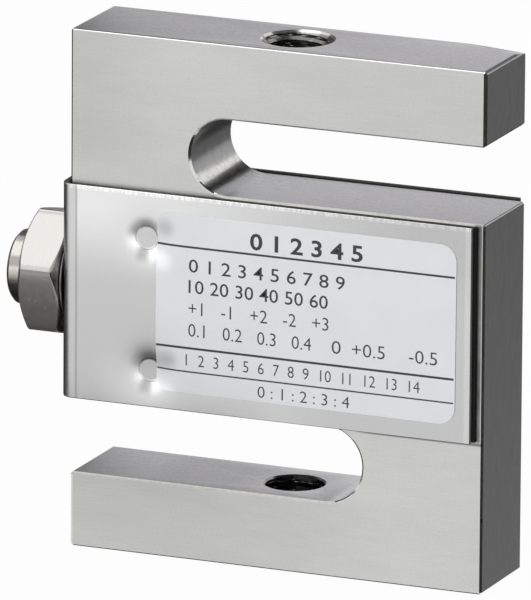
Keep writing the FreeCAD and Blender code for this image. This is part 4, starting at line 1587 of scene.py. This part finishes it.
@dataclass
class Gland:
    """The cable gland on the left side: hexagon with spigot, washer and turned nose."""

    frame: dict[str, Any]
    flats: float = 14.0
    turn: float = 13.2
    chamfer: float = 30.0
    chamfer_inset: float = 0.12
    corner_round: float = 0.16
    rim_round: float = 0.05
    spigot: float = 3.65
    bore: float = 2.6
    chamber: float = 3.9
    chamber_depth: float = 4.0
    bevel: float = 0.3
    washer_play: float = 0.1

    def __post_init__(self) -> None:
        """Finds the axis, the front corner, and how far each part stands out from the block's left side."""
        block_low, _ = box_of("s_body")
        body_low, body_high = box_of("gland_body")
        washer_low, washer_high = box_of("gland_washer")
        middle = (body_low[1:] + body_high[1:]) / 2
        self.centre = np.array([block_low[0], *middle])
        self.hex_out = block_low[0] - body_low[0]
        self.hex_in = block_low[0] - washer_low[0]
        self.spigot_end = block_low[0] - body_high[0]
        self.washer_in = block_low[0] - washer_high[0]
        self.washer_radius = (washer_high[2] - washer_low[2]) / 2
        self.corner_radius = self.flats / np.sqrt(3.0)
        self.front_corner = self.centre[2] + self.corner_radius * np.sin(np.radians(self.turn))

    def hexagon(self, finish: bpy.types.Material) -> bpy.types.Object:
        """Builds the hexagon with its spigot and chamber.

        The section's outline runs round the hexagon's side, the outer face, the chamber, the bore and
        the spigot. At angle t the hexagon's side lies at half its width across flats over cos(t from
        the flat's middle). Both faces' chamfers are cones that cut it off. Corners and the chamfers'
        rims are eased by a bell curve of the way to them.

        Args:
            finish: its material.

        Returns:
            The hexagon.
        """
        angle = np.radians(steps((0.0, 0), (360.0, 1.0))[:-1])[:, None]
        off = (angle - np.radians(90.0 - self.turn) + np.pi / 6) % (np.pi / 3) - np.pi / 6
        from_flat = np.pi / 6 - np.abs(off)
        apothem = self.flats / 2
        side = apothem / np.cos(from_flat)
        to_corner = (self.corner_radius - side) / (1.6 * self.corner_round)
        side = side - self.corner_round * np.exp(-to_corner ** 2)
        slope, reach, fine, coarse = np.tan(np.radians(self.chamfer)), 0.9, 0.06, 0.4
        u = steps((self.hex_in, 0), (self.hex_in + reach, fine), (self.hex_out - reach, coarse),
                  (self.hex_out, fine))[None, :]
        to_face = np.minimum(u - self.hex_in, self.hex_out - u)
        cone = apothem - self.chamfer_inset + to_face / slope
        to_rim = (cone - side) / (2.0 * self.rim_round)
        outer = np.minimum(cone, side) - self.rim_round * np.exp(-to_rim ** 2)
        floor, bevel = self.hex_out - self.chamber_depth, self.bevel
        rest = np.array([(self.hex_out, self.chamber + bevel), (self.hex_out - bevel, self.chamber),
                         (floor, self.chamber), (floor, self.bore), (self.spigot_end, self.bore),
                         (self.spigot_end, self.spigot - bevel), (self.spigot_end + bevel, self.spigot),
                         (self.hex_in, self.spigot)])
        shape = (len(angle), u.shape[1])
        places = np.concatenate([np.broadcast_to(u, shape), np.tile(rest[:, 0], (len(angle), 1))], 1)
        radii = np.concatenate([outer, np.tile(rest[:, 1], (len(angle), 1))], 1)
        points = np.stack([-places, -radii * np.sin(angle), radii * np.cos(angle)], -1).reshape(-1, 3)
        cells = grid_quads(*places.shape, wrap=True)
        return new_piece("gland_hexagon", points + self.centre, cells, finish, "gland_metal",
                         ("gland_body",), Edges(angle=28.0))

    def washer(self, finish: bpy.types.Material) -> bpy.types.Object:
        """Builds the washer: a flat ring whose outer edge is half a circle.

        Args:
            finish: its material.

        Returns:
            The washer.
        """
        half = (self.hex_in - self.washer_in) / 2
        t = np.linspace(-np.pi / 2, np.pi / 2, 9)
        round_edge = np.stack([self.washer_in + half + half * np.sin(t),
                               self.washer_radius - half + half * np.cos(t)], -1)
        inner = self.spigot + self.washer_play
        profile = np.concatenate([round_edge, [(self.hex_in, inner), (self.washer_in, inner)]])
        points, cells = turned(profile, self.centre)
        return new_piece("gland_ring", points, cells, finish, "gland_metal", ("gland_washer",),
                         Edges(angle=30.0))

    def build(self) -> list[bpy.types.Object]:
        """Builds the gland's outer pieces and finishes the nose and the seals.

        Returns:
            The new pieces.
        """
        plated = DrawnFlats("plated_brass", (0.40, 0.39, 0.375), 0.24, corner=float(self.front_corner))
        turned_brass = TurnedNose("turned_brass", (0.40, 0.39, 0.365), 0.20, axis=float(self.centre[2]))
        dull = PlatedFitting("dull_ring", (0.26, 0.25, 0.235), 0.30)
        rubber = Compound("seal_rubber", (0.03, 0.03, 0.032), 0.6, grain=2.5, unevenness=0.01)
        brass = SoftMetal("ring_brass", (0.70, 0.52, 0.24), 0.32)
        dress_all(self.frame, {("gland_nipple",): turned_brass, ("gland_thrust_ring",): brass,
                               ("gland_seal_ring", "gland_seal_bush"): rubber})
        return [self.hexagon(plated.material()), self.washer(dull.material())]


# --- what the block holds ----------------------------------------------------------------------


@dataclass
class GaugeChamber:
    """The gauges, their board and leads, and the compounds that seal them in."""

    frame: dict[str, Any]

    def build(self) -> None:
        """Gives each solid in the chamber, and the cover's sealant, its finish."""
        dress_all(self.frame, {
            ("gauge_upper_left", "gauge_lower_left", "gauge_upper_right", "gauge_lower_right"):
                GaugeFoil("gauge_foil", (0.48, 0.22, 0.05), 0.40),
            ("terminal_board",): WovenLaminate("board_laminate", (0.03, 0.20, 0.07), 0.35),
            ("solder_pads",): SoftMetal("solder", (0.72, 0.72, 0.74), 0.30),
            ("balance_resistor", "span_resistor"):
                Compound("resistor_ceramic", (0.55, 0.42, 0.26), 0.45, grain=1.5, coat=0.3),
            ("gauge_leads",): SoftMetal("lead_wire", (0.78, 0.42, 0.24), 0.30, 3.0),
            ("cavity_potting",): Compound("potting_silicone", (0.62, 0.63, 0.60), 0.35, grain=0.5,
                                          unevenness=0.05, variation=0.12, scatter=0.2),
            ("sealant_layer",): Compound("sealant_compound", (0.012, 0.0115, 0.011), 0.7, grain=1.6,
                                         unevenness=0.05, variation=0.5, shine=0.2)})


# --- floor, light and camera -------------------------------------------------------------------


@dataclass(frozen=True)
class Lamp:
    """A soft lamp: its name, its place and its width and height in metres, and how bright its face is,
    where 1 is white."""

    name: str
    place: Place
    size: tuple[float, float]
    level: float


@dataclass(frozen=True)
class Card:
    """A grey or glowing card: its name, its lowest and its highest corner in millimetres and its level.
    It is flat, so that the two corners share one part of their place."""

    name: str
    low: Place
    high: Place
    level: float


LAMPS = (
    Lamp("lamp_above", (-0.35, -0.30, 0.85), (0.7, 0.7), 1.25),
    Lamp("lamp_left", (-0.72, -1.05, 0.12), (0.48, 0.28), 1.3),
    Lamp("lamp_front", (0.07, -1.30, 0.12), (0.48, 0.28), 1.3))

CARDS = (
    Card("card_right_front", (25.5, -600, -0.1), (900, -6, -0.1), 0.03),
    Card("card_right_back", (25.5, -6, -0.1), (900, 900, -0.1), 0.18),
    Card("card_behind", (-30, 7.5, -0.1), (25.5, 900, -0.1), 0.045),
    Card("card_left_back", (-700, 14, 0.5), (-30, 900, 0.5), 0.08),
    Card("card_left", (-700, -60, 0.5), (-85, 14, 0.5), 0.10),
    Card("card_gland", (-80, -45, 0.5), (-56, 14, 0.5), 0.225),
    Card("card_under", (-25, -5.9, 0.01), (25, 5.9, 0.01), 0.03),
    Card("card_low_gland", (-60, -24, 12), (-31, -9, 12), 0.21),
    Card("card_low_nose", (-60, -9, 12), (-31, 14, 12), 0.10),
    Card("card_low", (-31, -15, 12), (-8, -7.2, 12), 0.08),
    Card("card_low_front", (-31, -24, 12), (-8, -15, 12), 0.24),
    Card("card_dimple", (-50, -60, 0.5), (-22, -40, 0.5), 0.55),
    Card("glow_front", (-45, -420, 0.5), (45, -200, 0.5), 2.2),
    Card("glow_left", (-260, -420, 0.5), (-150, -280, 0.5), 2.2),
    Card("card_gap", (-85, 600, 228), (130, 600, 760), 0.02),
    Card("card_far_right", (200, 600, 0), (450, 600, 230), 0.50),
    Card("card_far_left", (-900, 600, 150), (-70, 600, 600), 0.72),
    Card("card_near_left", (-500, 150, 20), (-92, 150, 300), 0.15),
    Card("card_above", (60, -400, 700), (600, 500, 700), 0.12))


@dataclass
class Studio:
    """A pale floor, soft lamps, cards that only reflections see, and the camera."""

    floor_size: float = 6.0
    floor_drop: float = 0.0002
    floor_grey: float = 0.80
    floor_shown: float = 0.96
    world_level: float = 0.62
    target: Place = (0.0, 0.0, 30.5)
    yaw: float = 0.3978
    pitch: float = 0.2588
    roll: float = 0.0067
    distance: float = 1571.0
    scale: float = 8.8061
    aside: float = 30.8
    above: float = -1.4034
    frame_height: float = 600.0

    def camera(self) -> None:
        """Sets the camera: a long lens, turned by yaw, pitch and roll, aimed beside the target."""
        sin, cos = np.sin, np.cos
        ahead = np.array([-sin(self.yaw) * cos(self.pitch), cos(self.yaw) * cos(self.pitch),
                          -sin(self.pitch)])
        right = np.array([cos(self.yaw), sin(self.yaw), 0.0])
        up = np.cross(right, ahead)
        level = cos(self.roll) * right + sin(self.roll) * up
        upright = -sin(self.roll) * right + cos(self.roll) * up
        spot = (np.array(self.target) - ahead * self.distance - level * self.aside / self.scale
                + upright * self.above / self.scale) * MM
        data = bpy.data.cameras.new("camera")
        data.sensor_fit = "VERTICAL"
        data.sensor_height = 36.0
        data.lens = self.scale * self.distance * data.sensor_height / self.frame_height
        data.clip_end = 50.0
        camera = linked("camera", data)
        rows = np.column_stack([level, upright, -ahead, spot]).tolist()
        camera.matrix_world = Matrix([*rows, [0.0, 0.0, 0.0, 1.0]])
        bpy.context.scene.camera = camera

    def floor(self) -> None:
        """Lays the floor: pale, white to the camera and in reflections, with the shadow kept."""
        half = self.floor_size / 2
        mesh = bpy.data.meshes.new("floor")
        corners = np.array([(-half, -half), (half, -half), (half, half), (-half, half)])
        mesh.from_pydata(np.column_stack([corners, np.full(4, -self.floor_drop)]), [], [(0, 1, 2, 3)])
        floor = linked("floor", mesh)
        material, nodes = empty_material("pale_floor")
        pale = nodes.signal("BsdfDiffuse", 0, {}, {"Color": (*[self.floor_grey] * 3, 1.0)})
        self.show_white(nodes, "OutputMaterial", self.floor_shown, pale, "Emission")
        mesh.materials.append(material)

    def show_white(self, nodes: Nodes, output: str, share: float, plain: Signal, white: str) -> None:
        """Ends a tree that is white to the camera and in reflections or glass, and plain as a light.

        Args:
            nodes: the tree.
            output: the type of its output node.
            share: how much of the white those rays see.
            plain: the shader that every other ray sees.
            white: the type of the white shader.
        """
        path = nodes.add("LightPath")
        camera, gloss, glass = (Signal(nodes, path.outputs[name])
                                for name in ("Is Camera Ray", "Is Glossy Ray", "Is Transmission Ray"))
        seen = camera.largest(gloss).largest(glass) * share
        mixed = nodes.signal("MixShader", 0, {}, {0: seen, 1: plain, 2: nodes.glow(white, 1.0)})
        nodes.add(output, None, {"Surface": mixed})

    def world(self) -> None:
        """Sets the world: white behind the object, softer as a light."""
        world = bpy.data.worlds.new("studio")
        world.use_nodes = True
        bpy.context.scene.world = world
        nodes = Nodes(world.node_tree)
        self.show_white(nodes, "OutputWorld", 1.0, nodes.glow("Background", self.world_level), "Background")

    def hang(self, lamp: Lamp) -> None:
        """Hangs one soft lamp, aimed at the object. Its power is its level times pi and its area.

        Args:
            lamp: the lamp.
        """
        data = bpy.data.lights.new(lamp.name, "AREA")
        data.shape = "RECTANGLE"
        data.size, data.size_y = lamp.size
        data.energy = lamp.level * np.pi * data.size * data.size_y
        made = linked(lamp.name, data)
        aim = Vector(self.target) * MM - Vector(lamp.place)
        made.location = lamp.place
        made.rotation_euler = aim.to_track_quat("-Z", "Y").to_euler()

    def set_up(self, card: Card) -> None:
        """Sets up one card that only reflections see, as gloss is shaped with in a studio.

        Args:
            card: the card.
        """
        low, high = np.array(card.low, float), np.array(card.high, float)
        flat = int(np.argmin(high - low))
        first, second = [axis for axis in range(3) if axis != flat]
        corners = np.tile(low, (4, 1))
        corners[1:3, first] = high[first]
        corners[2:4, second] = high[second]
        mesh = bpy.data.meshes.new(card.name)
        mesh.from_pydata(corners * MM, [], [(0, 1, 2, 3)])
        made = linked(card.name, mesh)
        material, nodes = empty_material(card.name)
        nodes.add("OutputMaterial", None, {"Surface": nodes.glow("Emission", card.level)})
        mesh.materials.append(material)
        made.visible_camera = False
        made.visible_diffuse = False
        made.visible_shadow = False
        made.visible_transmission = False

    def build(self) -> None:
        """Sets up floor, world, lamps, cards and camera, and the plain view transform."""
        bpy.context.scene.view_settings.view_transform = "Standard"
        self.camera()
        self.floor()
        self.world()
        for lamp in LAMPS:
            self.hang(lamp)
        for card in CARDS:
            self.set_up(card)
        LOG.info("studio: floor, world, %d lamps, %d cards and camera", len(LAMPS), len(CARDS))


def main() -> None:
    """Loads the frame, and builds the studio and every sub-assembly."""
    logging.basicConfig(level=logging.INFO, format="%(name)s: %(message)s")
    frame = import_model()
    Studio().build()
    Block(frame).build()
    cover = Cover()
    cover.build()
    Label(cover.dents).build()
    Gland(frame).build()
    GaugeChamber(frame).build()


if __name__ == "__main__":
    main()
